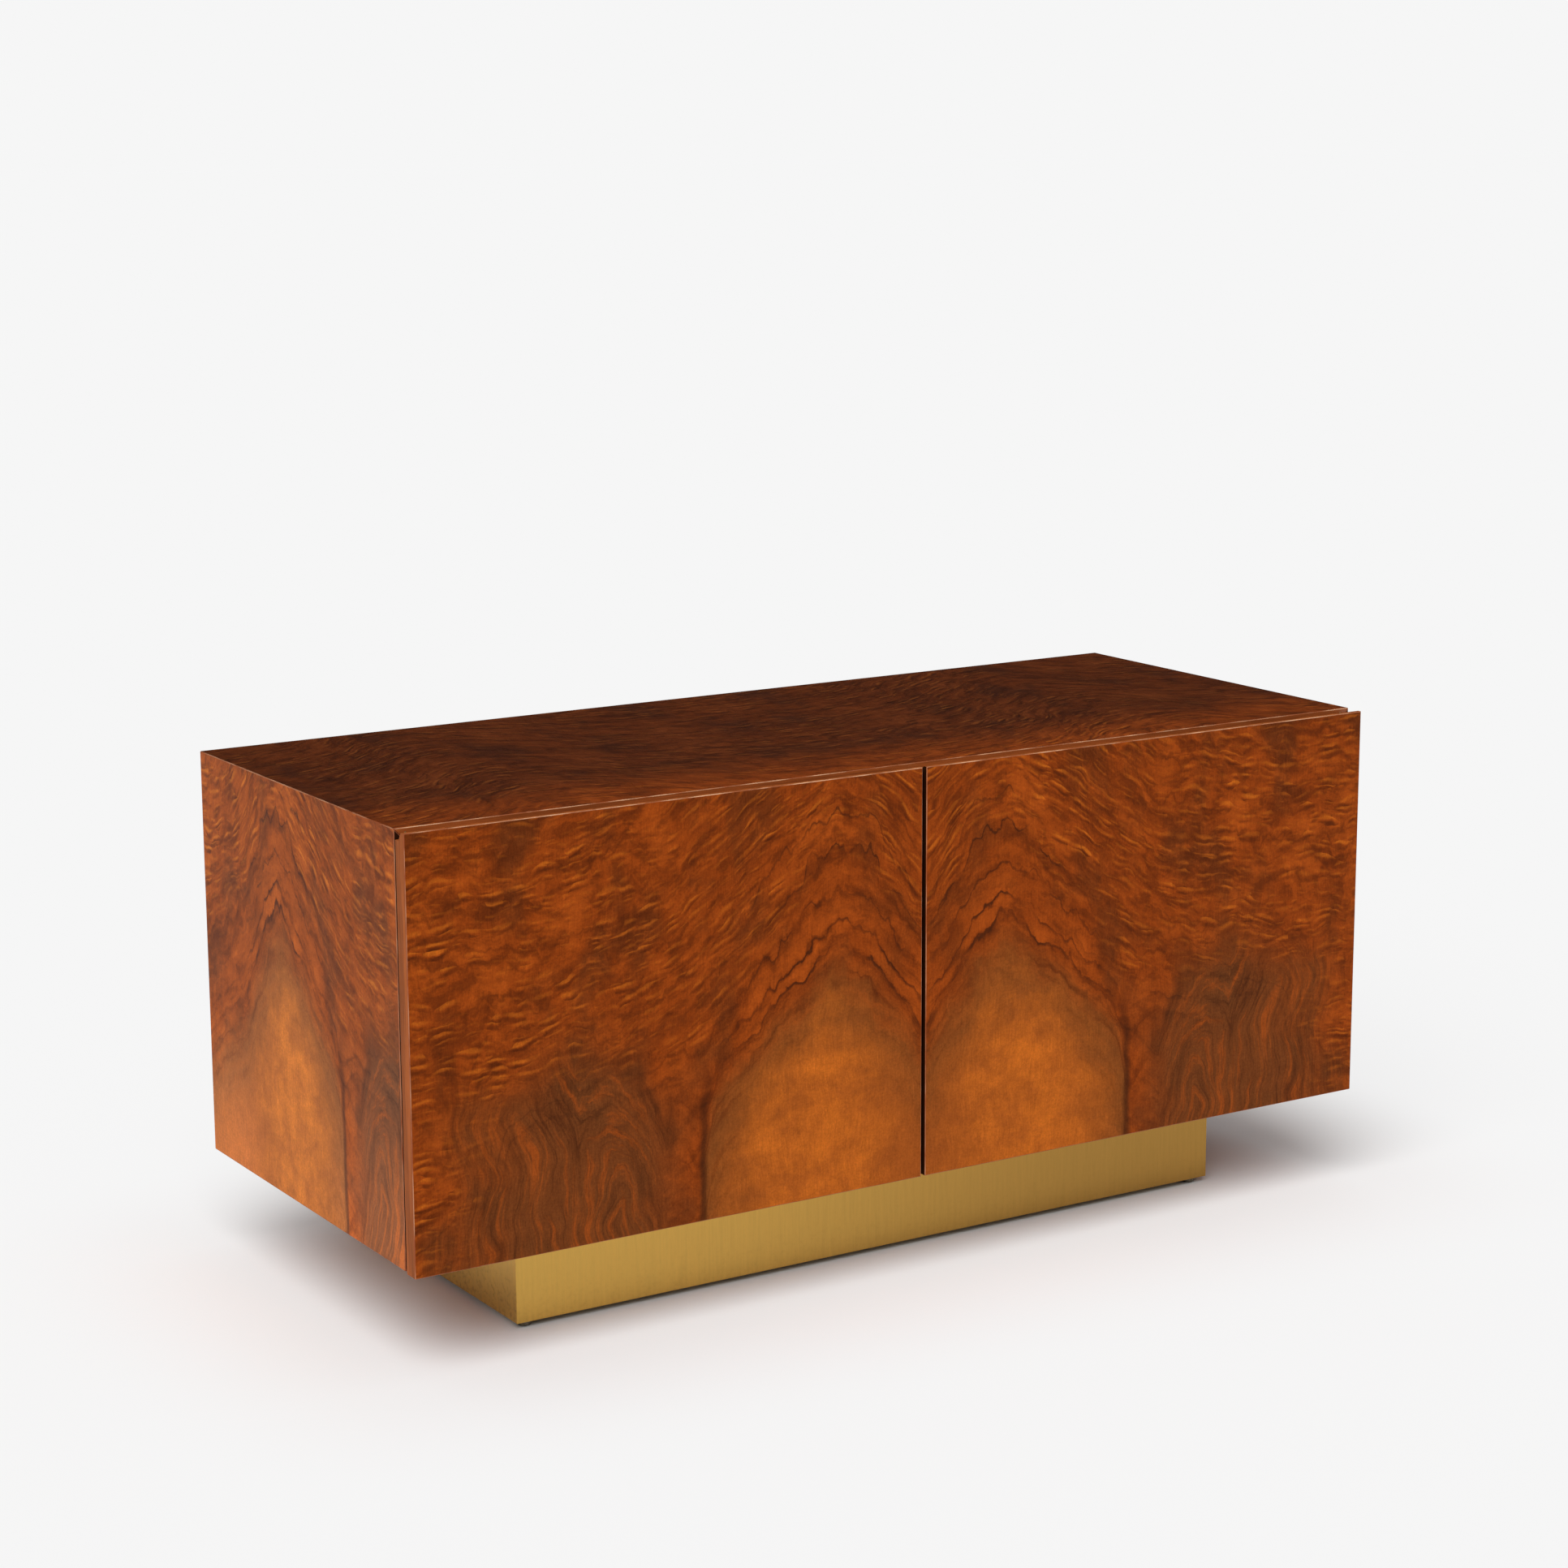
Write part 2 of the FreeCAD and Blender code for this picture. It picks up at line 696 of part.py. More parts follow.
def hinge_cup(hinge, level):
    """Round cup with two screw ears, lugs for the floor pin and holes for the rim pins."""
    x, y = hinge.at("cup_in", "door_back")
    outer = rod("cup_outer", (x, y, level), "-Y", "cup_radius", "cup_depth")
    mouth = (x, f"{y} + overrun", level)
    hollow = rod("cup_hollow", mouth, "-Y", "cup_inner_radius", "cup_depth - cup_wall + overrun")
    pieces = [cut("cup_shell", outer, [hollow])]
    ear_low = hinge.low_x("cup_in + ear_shift - ear_width / 2", "ear_width")
    lug_low = hinge.low_x("cup_in - floor_pin_out - lug_half", "2 * lug_half")
    for half in HALVES:
        ear_layer = half_low(level, half, "ear_start", "ear_end")
        ear = block("cup_ear", (ear_low, "door_back", ear_layer),
                    ("ear_width", "ear_thick", "ear_end - ear_start"))
        layer = half_low(level, half, "cheek_low", "cheek_high")
        foot = block("cup_lug_foot", (lug_low, "cup_floor", layer),
                     ("2 * lug_half", "door_back - floor_pin_deep - cup_floor", "cheek_thick"))
        crown = rod("cup_lug_crown", (*hinge.floor_pin, layer), "+Z", "lug_half", "cheek_thick")
        pieces += [ear, foot, crown]
    return cut("hinge_cup", fuse("cup_body", pieces), cup_pins(hinge, level))


def cup_pins(hinge, level):
    """Floor pin of the inner link and the two rim pins of the outer links."""
    floor_pin = pin_through("floor_pin", hinge.floor_pin, level, "cheek_high", "pin_radius")
    return [floor_pin] + pin_pair("rim_pin", hinge.rim_pin, level, "outer_low", "rim_pin_reach", "pin_radius")


def arm_pins(hinge, level):
    """Front pin of the inner link and the two rear pins of the outer links."""
    front_pin = pin_through("front_pin", hinge.front_pin, level, "cheek_high", "pin_radius")
    return [front_pin] + pin_pair("rear_pin", hinge.rear_pin, level, "cheek_low", "outer_high", "pin_radius")


def cup_screws(hinge, level, side):
    x, y = hinge.at("cup_in + ear_shift", "door_back + ear_thick")
    return [
        screw("cup_screw", (x, y, f"{level} + {half} * cup_screw_reach"), "-Y",
              (side + "_hinge_cups", side + "_door"))
        for half in HALVES
    ]


def outer_links(hinge, level):
    """Pair of bent side links from the arm's rear pins to the cup's rim pins."""
    path = [hinge.rim_pin, hinge.outer_bend, hinge.rear_pin]
    eye_radius = "pin_radius + pin_clearance"
    links = []
    for index, half in enumerate(HALVES):
        low = half_low(level, half, "outer_low", "outer_high")
        strip = bent_plate("outer_link_strip", path, "link_half", low, "outer_link_thick")
        eyes = [
            pin_pair("outer_link_eye", point, level, "outer_low", "outer_high", eye_radius)[index]
            for point in (hinge.rear_pin, hinge.rim_pin)
        ]
        links.append(cut("outer_link", strip, eyes))
    return links


def inner_link(hinge, level):
    """Bent middle link from the arm's front pin to the cup's floor pin, with a wide eye on the floor pin."""
    reach = "inner_link_width / 2"
    low = f"{level} - {reach}"
    path = [hinge.floor_pin, hinge.inner_bend, hinge.front_pin]
    strip = bent_plate("inner_link_strip", path, "link_half", low, "inner_link_width")
    ring = rod("inner_link_ring", (*hinge.floor_pin, low), "+Z", "open_eye_radius", "inner_link_width")
    eyes = [
        pin_through("inner_link_eye", hinge.front_pin, level, reach, "pin_radius + pin_clearance"),
        pin_through("inner_link_wide_eye", hinge.floor_pin, level, reach, "pin_radius + open_pin_clearance"),
    ]
    return cut("inner_link", fuse("inner_link_body", [strip, ring]), eyes)


def hinge_arm(hinge, level):
    """Cranked arm of two cheeks on a web, which rests on the mounting plate."""
    path = [hinge.front_pin, hinge.rear_pin, hinge.arm_knee, hinge.arm_end]
    lows = [half_low(level, half, "cheek_low", "cheek_high") for half in HALVES]
    cheeks = [bent_plate("arm_cheek", path, "arm_half", low, "cheek_thick") for low in lows]
    corner = (hinge.low_x("arm_foot_in", "arm_web"), hinge.arm_knee[1], f"{level} - cheek_high")
    web = block("arm_web", corner, ("arm_web", "arm_end_back - arm_knee_back - arm_half", "2 * cheek_high"))
    pin_holes = [
        pin_through("arm_front_hole", hinge.front_pin, level, "cheek_high", "pin_radius"),
        pin_through("arm_rear_hole", hinge.rear_pin, level, "cheek_high", "pin_radius"),
    ]
    return cut("hinge_arm", fuse("arm_body", cheeks + [web]), pin_holes)


def hinge_plate(hinge, level):
    """Mounting plate on the side board: a raised bed for the arm and two screw wings."""
    rise = "arm_foot_in - board_thick"
    bed = block("plate_bed", (hinge.low_x("board_thick", rise), "plate_front", f"{level} - plate_half"),
                (rise, "plate_length", "2 * plate_half"))
    wing_x = hinge.low_x("board_thick", "wing_thick")
    wing = block("plate_wing", (wing_x, "plate_middle - wing_length / 2", f"{level} - wing_half"),
                 ("wing_thick", "wing_length", "2 * wing_half"))
    return fuse("hinge_plate", [bed, wing])


def plate_screws(hinge, level, side):
    """Two wing screws into the side board and the screw that clamps the arm to the plate."""
    inwards = hinge.way("-X")
    x, y = hinge.at("board_thick + wing_thick", "plate_middle")
    wing_pieces = (side + "_hinge_plates", side + "_side_board")
    screws = [
        screw("plate_screw", (x, y, f"{level} + {half} * wing_screw_reach"), inwards, wing_pieces)
        for half in HALVES
    ]
    seat = (*hinge.at("arm_foot_in + arm_web", "plate_middle"), level)
    return screws + [screw("arm_screw", seat, inwards, (side + "_hinge_arms", side + "_hinge_plates"))]


def make_hinges(side, hand):
    """Both hinges of one door. Each kind of piece is one node with solids for each hinge."""
    hinge = Hinge(hand)
    kinds = defaultdict(list)
    for level in HINGE_LEVELS:
        kinds["cups"].append(hinge_cup(hinge, level))
        kinds["cup_pins"] += cup_pins(hinge, level)
        kinds["cup_screws"] += cup_screws(hinge, level, side)
        kinds["outer_links"] += outer_links(hinge, level)
        kinds["inner_links"].append(inner_link(hinge, level))
        kinds["arms"].append(hinge_arm(hinge, level))
        kinds["arm_pins"] += arm_pins(hinge, level)
        kinds["plates"].append(hinge_plate(hinge, level))
        kinds["plate_screws"] += plate_screws(hinge, level, side)
    for kind, pieces in kinds.items():
        name = f"{side}_hinge_{kind}"
        keep(name, group(name, pieces))


def make_catches():
    """Magnetic catches under the top board, one on each side of the partition."""
    kinds = defaultdict(list)
    stack = "magnet_thick + 2 * pole_thick"
    for hand in HANDS.values():
        middle = f"{-hand} * catch_middle"
        corner = (f"{middle} - catch_length / 2", "catch_front", "inner_ceiling - catch_height")
        body = block("catch_body", corner, ("catch_length", "catch_depth", "catch_height"))
        pole_low = f"{middle} - pole_length / 2"
        room = block("catch_room", (pole_low, "catch_front - overrun", f"catch_level - ({stack}) / 2"),
                     ("pole_length", "pole_end - catch_front + overrun", stack))
        kinds["housings"].append(cut("catch_housing", body, [room]))
        for end in (-1, 1):
            x = f"{middle} + {end} * (pole_length + catch_length) / 4"
            seat = (x, "catch_front + catch_depth / 2", "inner_ceiling - catch_height")
            kinds["screws"].append(screw("catch_screw", seat, "+Z", ("catch_housings", "top_board")))
        magnet = block("catch_magnet", (pole_low, "catch_front", "catch_level - magnet_thick / 2"),
                       ("pole_length", "pole_end - catch_front", "magnet_thick"))
        kinds["magnets"].append(magnet)
        for low in ("catch_level - magnet_thick / 2 - pole_thick", "catch_level + magnet_thick / 2"):
            pole = block("catch_pole", (pole_low, "pole_tip", low),
                         ("pole_length", "pole_end - pole_tip", "pole_thick"))
            kinds["poles"].append(pole)
    for kind, pieces in kinds.items():
        keep("catch_" + kind, group("catch_" + kind, pieces))


def make_strike(side, hand):
    """Steel strike plate on the door's back, opposite the catch, held by one screw."""
    middle = f"{-hand} * catch_middle"
    name = side + "_strike_plate"
    corner = (f"{middle} - strike_length / 2", "door_back", "catch_level - strike_height / 2")
    keep(name, block(name, corner, ("strike_length", "strike_thick", "strike_height")))
    seat = (middle, "door_back + strike_thick", "catch_level")
    keep(side + "_strike_screw", screw("strike_screw", seat, "-Y", (name, side + "_door")))


def make_plinth_rails():
    """Front and back rails run the full width, and the end rails and cross rail stand between them."""
    for name, y in (("plinth_front_rail", "rail_front"), ("plinth_back_rail", "rail_inner_back")):
        corner = ("-rail_width / 2", y, "plinth_bottom")
        keep(name, block(name, corner, ("rail_width", "rail_thick", "plinth_height")))
    ends = {
        "plinth_left_rail": "-rail_width / 2",
        "plinth_cross_rail": "-rail_thick / 2",
        "plinth_right_rail": "rail_inner_end",
    }
    for name, x in ends.items():
        size = ("rail_thick", "rail_inner_back - rail_inner_front", "plinth_height")
        keep(name, block(name, (x, "rail_inner_front", "plinth_bottom"), size))


def make_brass():
    """Brass sheet over the front rail and the two ends. The front sheet covers the end sheets' edges."""
    front_corner = ("-plinth_width / 2", "plinth_front", "plinth_bottom")
    front_size = ("plinth_width", "brass_thick", "plinth_height")
    keep("plinth_front_brass", block("plinth_front_brass", front_corner, front_size))
    for side, x in (("left", "-plinth_width / 2"), ("right", "rail_width / 2")):
        name = f"plinth_{side}_brass"
        end_size = ("brass_thick", "plinth_back - rail_front", "plinth_height")
        keep(name, block(name, (x, "rail_front", "plinth_bottom"), end_size))


def make_corner_blocks():
    """Glued blocks in the plinth frame's inner corners, each with a screw up into the case bottom."""
    blocks = []
    screws = []
    pieces = ("plinth_corner_blocks", "bottom_board")
    for side in (-1, 1):
        x = f"{side} * rail_inner_end"
        for y, inward in (("rail_inner_front", 1), ("rail_inner_back", -1)):
            body = doc.addObject("PartDesign::Body", "corner_block")
            outline = plane_sketch(body, "corner_block_outline", "XY_Plane")
            draw(outline, [("0", "0"), (f"{-side} * block_leg", "0"), ("0", f"{inward} * block_leg")])
            pad(body, "corner_block_pad", outline, "block_height")
            blocks.append(place(body, x, y, "block_bottom"))
            screw_x = f"{x} - {side} * block_screw_inset"
            screw_y = f"{y} + {inward} * block_screw_inset"
            screws.append(screw("block_screw", (screw_x, screw_y, "block_bottom"), "+Z", pieces))
    keep("plinth_corner_blocks", group("plinth_corner_blocks", blocks))
    keep("plinth_screws", group("plinth_screws", screws))


def make_glides():
    """Domed nail glides under the plinth's corners, flat where they meet the floor."""
    caps = []
    nails = []
    for side in (-1, 1):
        for rail, y in (("front", "plinth_front + glide_inset"), ("back", "plinth_back - glide_inset")):
            x = f"{side} * (plinth_width / 2 - glide_inset)"
            body = doc.addObject("PartDesign::Body", "glide_cap")
            outline = plane_sketch(body, "glide_cap_section", "XZ_Plane")
            draw(outline, [
                ("0", "0"),
                ("glide_flat_radius", "0", "glide_dome_radius", -1),
                ("glide_radius", "glide_dome"),
                ("glide_radius", "glide_height"),
                ("0", "glide_height"),
            ])
            turned = body.newObject("PartDesign::Revolution", "glide_cap_turned")
            turned.Profile = outline
            turned.ReferenceAxis = (outline, ["V_Axis"])
            caps.append(place(body, x, y, "0"))
            root = (x, y, "glide_height")
            nails.append(rod("glide_nail", root, "+Z", "glide_nail_radius", "glide_nail_length"))
            drill(f"plinth_{rail}_rail", "glide_nail", root, "+Z")
    keep("glide_caps", group("glide_caps", caps))
    keep("glide_nails", group("glide_nails", nails))


def check_and_export():
    """Stop on any failed object, then write one file for each node."""
    for thing in doc.Objects:
        if "Invalid" in thing.State or "Error" in thing.State:
            raise RuntimeError(f"{thing.Name} failed: {thing.State}")
    os.makedirs("parts", exist_ok=True)
    for node in nodes:
        shape = node.Shape
        if shape.isNull() or not shape.isValid() or not shape.Solids:
            raise RuntimeError(f"{node.Label} has no sound shape")
        shape.exportStep(os.path.join("parts", node.Label + ".step"))
    print(f"{len(nodes)} nodes, {sum(len(node.Shape.Solids) for node in nodes)} solids")


def main():
    fill_sheet()
    make_case_boards()
    make_splines()
    make_partition()
    make_back()
    make_shelves()
    for side, hand in HANDS.items():
        make_door(side, hand)
        make_bumpers(side, hand)
        make_hinges(side, hand)
        make_strike(side, hand)
    make_catches()
    make_plinth_rails()
    make_brass()
    make_corner_blocks()
    make_glides()
    cut_holes()
    doc.recompute()
    check_and_export()


main()
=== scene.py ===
import json
import math
from functools import partial

import bmesh
import bpy
from bpy.props import FloatProperty, FloatVectorProperty, PointerProperty
from mathutils import Euler, Matrix, Vector

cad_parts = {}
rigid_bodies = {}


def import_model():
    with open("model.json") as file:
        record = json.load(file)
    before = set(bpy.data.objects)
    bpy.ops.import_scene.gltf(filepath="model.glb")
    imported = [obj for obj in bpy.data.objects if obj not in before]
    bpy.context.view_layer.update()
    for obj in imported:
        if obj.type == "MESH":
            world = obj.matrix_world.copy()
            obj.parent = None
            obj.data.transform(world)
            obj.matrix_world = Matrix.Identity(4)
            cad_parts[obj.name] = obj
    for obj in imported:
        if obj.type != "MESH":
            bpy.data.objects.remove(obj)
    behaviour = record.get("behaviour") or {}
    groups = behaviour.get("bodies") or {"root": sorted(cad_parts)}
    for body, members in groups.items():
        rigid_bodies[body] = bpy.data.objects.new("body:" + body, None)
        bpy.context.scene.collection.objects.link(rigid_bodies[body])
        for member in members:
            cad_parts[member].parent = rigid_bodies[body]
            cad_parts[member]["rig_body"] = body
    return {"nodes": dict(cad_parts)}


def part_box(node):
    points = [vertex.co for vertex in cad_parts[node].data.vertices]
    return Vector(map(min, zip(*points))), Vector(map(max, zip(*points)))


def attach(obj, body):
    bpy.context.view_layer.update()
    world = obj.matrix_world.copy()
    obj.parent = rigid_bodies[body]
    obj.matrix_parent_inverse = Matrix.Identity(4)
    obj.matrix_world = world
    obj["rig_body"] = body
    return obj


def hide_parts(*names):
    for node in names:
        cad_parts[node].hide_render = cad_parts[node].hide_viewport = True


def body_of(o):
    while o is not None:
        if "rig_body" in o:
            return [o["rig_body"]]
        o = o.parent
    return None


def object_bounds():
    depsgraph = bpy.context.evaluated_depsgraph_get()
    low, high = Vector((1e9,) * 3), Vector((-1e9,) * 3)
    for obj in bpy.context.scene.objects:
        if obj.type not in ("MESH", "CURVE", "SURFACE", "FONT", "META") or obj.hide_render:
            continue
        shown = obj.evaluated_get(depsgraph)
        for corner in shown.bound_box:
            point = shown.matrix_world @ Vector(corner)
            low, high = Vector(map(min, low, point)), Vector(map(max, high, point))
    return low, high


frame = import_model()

bl_info = {
    "name": "Low Cabinet",
    "version": (1, 0, 0),
    "blender": (4, 5, 0),
    "location": "3D View > Sidebar > Cabinet",
    "description": "Veneers, brass and fittings of a low cabinet over its packed solids",
    "category": "Object",
}

CAD_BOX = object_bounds()
NODES = frame["nodes"]
SIDES = ("left", "right")


def linear(code):
    """Turn an sRGB hex colour into linear red, green and blue."""
    channels = [int(code[place:place + 2], 16) / 255 for place in (1, 3, 5)]
    return [c / 12.92 if c <= 0.04045 else ((c + 0.055) / 1.055) ** 2.4 for c in channels]


def colour(name, code, description):
    """Colour that a user can change, from its sRGB hex code."""
    return FloatVectorProperty(name=name, description=description, subtype="COLOR", size=3, min=0, max=1,
                               default=linear(code))


def number(name, default, description, **limits):
    """Number that a user can change, within its limits."""
    return FloatProperty(name=name, default=default, description=description, **limits)


class CabinetWood(bpy.types.PropertyGroup):
    """Colours and grain sizes of the veneers."""
    field: colour("Field", "#8A3B0D", "Red-brown of the crotch veneer outside the arch")
    gold: colour("Arch", "#C6681F", "Golden sapwood inside the arch")
    gold_shade: colour("Arch Shade", "#944A1A", "Clouded parts of the golden sapwood")
    margin: colour("Arch Margin", "#7D491F", "Grey-brown just under the arch line")
    straight_zone: colour("Straight Zone", "#693B1B", "Brown of the straight grain beside the arch")
    vein: colour("Vein", "#3F1D0B", "Dark growth lines")
    amber: colour("Amber", "#AF5015", "Bright bands between the growth lines")
    curl_light: colour("Curl Light", "#CE6C1C", "Lit side of the curls")
    dusk: colour("Dusk", "#5E2D10", "Wide dark clouds of the figure")
    curl_dark: colour("Curl Dark", "#542208", "Shaded side of the curls")
    # Painted light and a painted sheen that make the ends lighter and bluer than the doors.
    painted_end_light: FloatVectorProperty(name="Bleach", size=3, min=0, default=(1.22, 1.48, 2.3),
                                description="Gain of red, green and blue where daylight reached the ends")
    # Pale colour of the edges: rubbed pale wood with a painted highlight.
    arris_pale_highlight: colour("Rubbed Edge", "#D9A883", "Pale wood along the rubbed edges")
    # Painted shade and a painted sheen on the top: darker in red and green and bluer, away from its front
    # edge.
    top_painted_shade_and_sheen: FloatVectorProperty(name="Top Shade", size=3, min=0, default=(0.42, 0.5, 1.15),
                                   description="Gain of red, green and blue that darkened the top")
    plain: colour("Plain Walnut", "#A85A2A", "Straight-grained walnut of edges and inner faces")
    plain_dark: colour("Plain Walnut Streak", "#80431E", "Dark streaks of the straight-grained walnut")
    # Painted shade on the edges that face into the gaps round the doors.
    painted_gap_shade_tone: colour("Edge Stain", "#2E160B", "Near-black stain on the edges at the gaps round the doors")
    curl_length: number("Curl Length", 0.029, "Length of one curl of the figure", unit="LENGTH", min=0.005)
    curl_height: number("Curl Height", 0.0095, "Height of one curl of the figure", unit="LENGTH", min=0.001)
    arris: number("Arris", 0.0008, "Width of the eased edges", unit="LENGTH", min=0.0002, max=0.003)


class CabinetMetal(bpy.types.PropertyGroup):
    """Colours of the metals and small fittings."""
    brass: colour("Brass", "#D2A854", "Satin brass sheet of the plinth")
    # Painted shade that darkens the brass towards the right.
    brass_painted_shade: colour("Mellow Brass", "#AA8240", "The same sheet where it has mellowed, to the right")
    brass_dark: colour("Brass Patina", "#7C5A28", "Brown patina low on the brass")
    nickel: colour("Nickel", "#B9B4AA", "Nickel plating of the hinges, pegs and catch plates")
    zinc: colour("Zinc", "#C2BDA9", "Yellowish zinc plating of screws and nails")
    catch: colour("Catch", "#4A2C17", "Brown plastic of the catches")


class CabinetStage(bpy.types.PropertyGroup):
    """Background, light and camera."""
    paper: colour("Paper", "#F6F6F6", "Pale floor and background")
    ambient: number("Ambient", 0.31, "Level of the light from all round", min=0)
    key: number("Key", 2.6, "Strength of the soft key light", min=0)
    lens: number("Lens", 77.65, "Focal length on a 36 mm frame", min=1, subtype="DISTANCE_CAMERA")
    pan: number("Pan", math.radians(32.128), "Turn of the view right of straight back", subtype="ANGLE")
    tilt: number("Tilt", math.radians(11.365), "Turn of the view below level", subtype="ANGLE")
    roll: number("Roll", math.radians(-0.227), "Turn of the view about its own line", subtype="ANGLE")
    eye: FloatVectorProperty(name="Eye", description="Place of the camera", size=3, subtype="TRANSLATION",
                             unit="LENGTH", default=(-1.9937, -3.1466, 1.2493))


def add(tree, kind, *inputs, out=0, **settings):
    """Add one node of a kind, named with its operation if it has one. Its inputs, in order or in one dict by
    name or number, are set or linked."""
    kind, _, operation = kind.partition(" ")
    node = tree.nodes.new(kind if "Node" in kind else "ShaderNode" + kind)
    if operation:
        node.operation = operation
    for name, setting in settings.items():
        setattr(node, name, setting)
    named = inputs[0] if inputs and isinstance(inputs[0], dict) else dict(enumerate(inputs))
    for key, given in named.items():
        if isinstance(given, bpy.types.NodeSocket):
            tree.links.new(given, node.inputs[key])
        else:
            node.inputs[key].default_value = given
    return node.outputs[out]


# A MapRange takes its value, the span that it reads and the span that it gives, 0 to 1 where left out.
# These are the settings of one that starts and ends gently, and of a mix of two colours.
SOFT = {"interpolation_type": "SMOOTHSTEP"}
BLEND = {"data_type": "RGBA", "out": 2}
# Most of a noise lies between these values.
NOISE_SPAN = (0.3, 0.7)
# How fast the pattern changes along x, y and z where the grain stands upright and where it lies lengthwise.
UPRIGHT, LENGTHWISE = (1, 1, 0.04), (0.04, 1, 1)


def new_material(name, **constants):
    """Empty material with a shader whose constant values are set on its own sockets."""
    material = bpy.data.materials.new(name)
    material.use_nodes = True
    tree = material.node_tree
    tree.nodes.clear()
    shader = tree.nodes.new("ShaderNodeBsdfPrincipled")
    for socket, value in constants.items():
        shader.inputs[socket.replace("_", " ")].default_value = value
    output = tree.nodes.new("ShaderNodeOutputMaterial")
    tree.links.new(shader.outputs[0], output.inputs[0])
    return material, tree, shader


def millimetres(tree):
    """Place on the cabinet at rest, in millimetres, so that pattern scales are real sizes."""
    place = add(tree, "TexCoord", out=3)
    return add(tree, "VectorMath MULTIPLY", place, (1000, 1000, 1000))


def dress(names, material):
    """Give the named CAD nodes one material."""
    for name in names:
        mesh = NODES[name].data
        mesh.materials.clear()
        mesh.materials.append(material)


def as_object(shape, name, material):
    """Turn a finished shape into an object of the scene in one material."""
    mesh = bpy.data.meshes.new(name)
    shape.to_mesh(mesh)
    shape.free()
    mesh.materials.append(material)
    made = bpy.data.objects.new(name, mesh)
    bpy.context.scene.collection.objects.link(made)
    return made


# An outer edge is eased where it turns by more than OUTER_TURN and is longer than LONG_EDGE. Other edges that
# turn by more than RIM_TURN stay crisp. Points within WELD_REACH are joined first, and so are faces that turn
# by less than FLAT_TURN. Turns are in radians and lengths in metres.
OUTER_TURN, RIM_TURN, LONG_EDGE = 0.7, 0.5, 0.009
WELD_REACH, FLAT_TURN = 0.00002, math.radians(0.5)


def long_edges():
    """Node group that marks the long outer edges of a board for easing and leaves its holes sharp."""
    tree = bpy.data.node_groups.new("long_outer_edges", "GeometryNodeTree")
    put = partial(add, tree)
    tree.is_modifier = True
    for way in ("INPUT", "OUTPUT"):
        tree.interface.new_socket("Geometry", in_out=way, socket_type="NodeSocketGeometry")
    board = tree.nodes.new("NodeGroupInput").outputs[0]
    bare = put("GeometryNodeRemoveAttribute", {"Geometry": board, "Name": "custom_normal"})
    turns = put("GeometryNodeInputMeshEdgeAngle").node.outputs
    ends = put("GeometryNodeInputMeshEdgeVertices").node.outputs
    length = put("VectorMath DISTANCE", ends["Position 1"], ends["Position 2"], out=1)
    outer = put("Math GREATER_THAN", turns["Signed Angle"], OUTER_TURN)
    long = put("Math GREATER_THAN", length, LONG_EDGE)
    marked = put("Math MULTIPLY", outer, long)
    weights = {"Geometry": bare, "Name": "bevel_weight_edge", "Value": marked}
    eased = put("GeometryNodeStoreNamedAttribute", weights, data_type="FLOAT", domain="EDGE")
    corner = put("Math GREATER_THAN", turns["Unsigned Angle"], RIM_TURN)
    rim = put("Math SUBTRACT", corner, marked)
    crisp = put("GeometryNodeSetShadeSmooth", {"Geometry": eased, "Selection": rim, "Shade Smooth": False},
                domain="EDGE")
    tree.links.new(crisp, tree.nodes.new("NodeGroupOutput").inputs[0])
    return tree


def ease_edges(names, width, rubbed=False):
    """Ease the long edges of the named nodes, so that they catch a thin line of light, and if asked rub them
    pale and paint a highlight on them."""
    marks = bpy.data.node_groups.get("long_outer_edges") or long_edges()
    for name in names:
        modifiers = NODES[name].modifiers
        modifiers.new("joined_faces", "WELD").merge_threshold = WELD_REACH
        flat = modifiers.new("whole_faces", "DECIMATE")
        flat.decimate_type = "DISSOLVE"
        flat.angle_limit = FLAT_TURN
        modifiers.new("long_edges", "NODES").node_group = marks
        bevel = modifiers.new("eased_edges", "BEVEL")
        bevel.width = width
        bevel.segments = 2
        bevel.limit_method = "WEIGHT"
        bevel.use_clamp_overlap = False
        bevel.harden_normals = True
        # Rubbed pale edges with a painted highlight.
        if rubbed:
            NODES[name].data.materials.append(bpy.data.materials["walnut_arris_rubbed_highlit"])
            bevel.material = 1


# Height of the golden arch over the distance from the book-match line, both in millimetres.
ARCH_LOW = ((-150, 70), (-60, 140), (0, 172), (17, 200), (47, 237), (87, 266), (117, 277), (147, 273),
            (177, 257), (207, 228), (240, 198), (262, 165), (276, 122), (292, 138), (315, 150), (337, 140),
            (373, 130), (413, 152), (449, 158), (481, 140), (506, 90), (530, 0), (560, -80), (650, -140))
# The same higher up, where the growth lines sweep over both arches.
ARCH_HIGH = ((-150, 100), (0, 172), (47, 236), (85, 270), (115, 274), (150, 256), (200, 206), (260, 142),
             (308, 100), (360, 76), (430, 58), (520, 47), (650, 40))
HEIGHT_RANGE = (-150, 350)
# Tone of the growth lines by height over the arch in millimetres: 0 is dark, 0.5 leaves the wood as it is and
# 1 is amber.
RINGS = ((-70, 0.5), (-24, 0.48), (-8, 0.36), (-2.5, 0.02), (-0.5, 0.35), (4, 0.8), (13, 0.9), (19, 0.6),
         (22, 0.2), (24, 0.0), (26, 0.4), (34, 0.8), (50, 0.7), (59, 0.45), (61, 0.12), (63, 0.45), (78, 0.6),
         (90, 0.36), (101, 0.28), (103, 0.02), (105, 0.45), (124, 0.6), (137, 0.36), (139, 0.1), (141, 0.45),
         (150, 0.5))
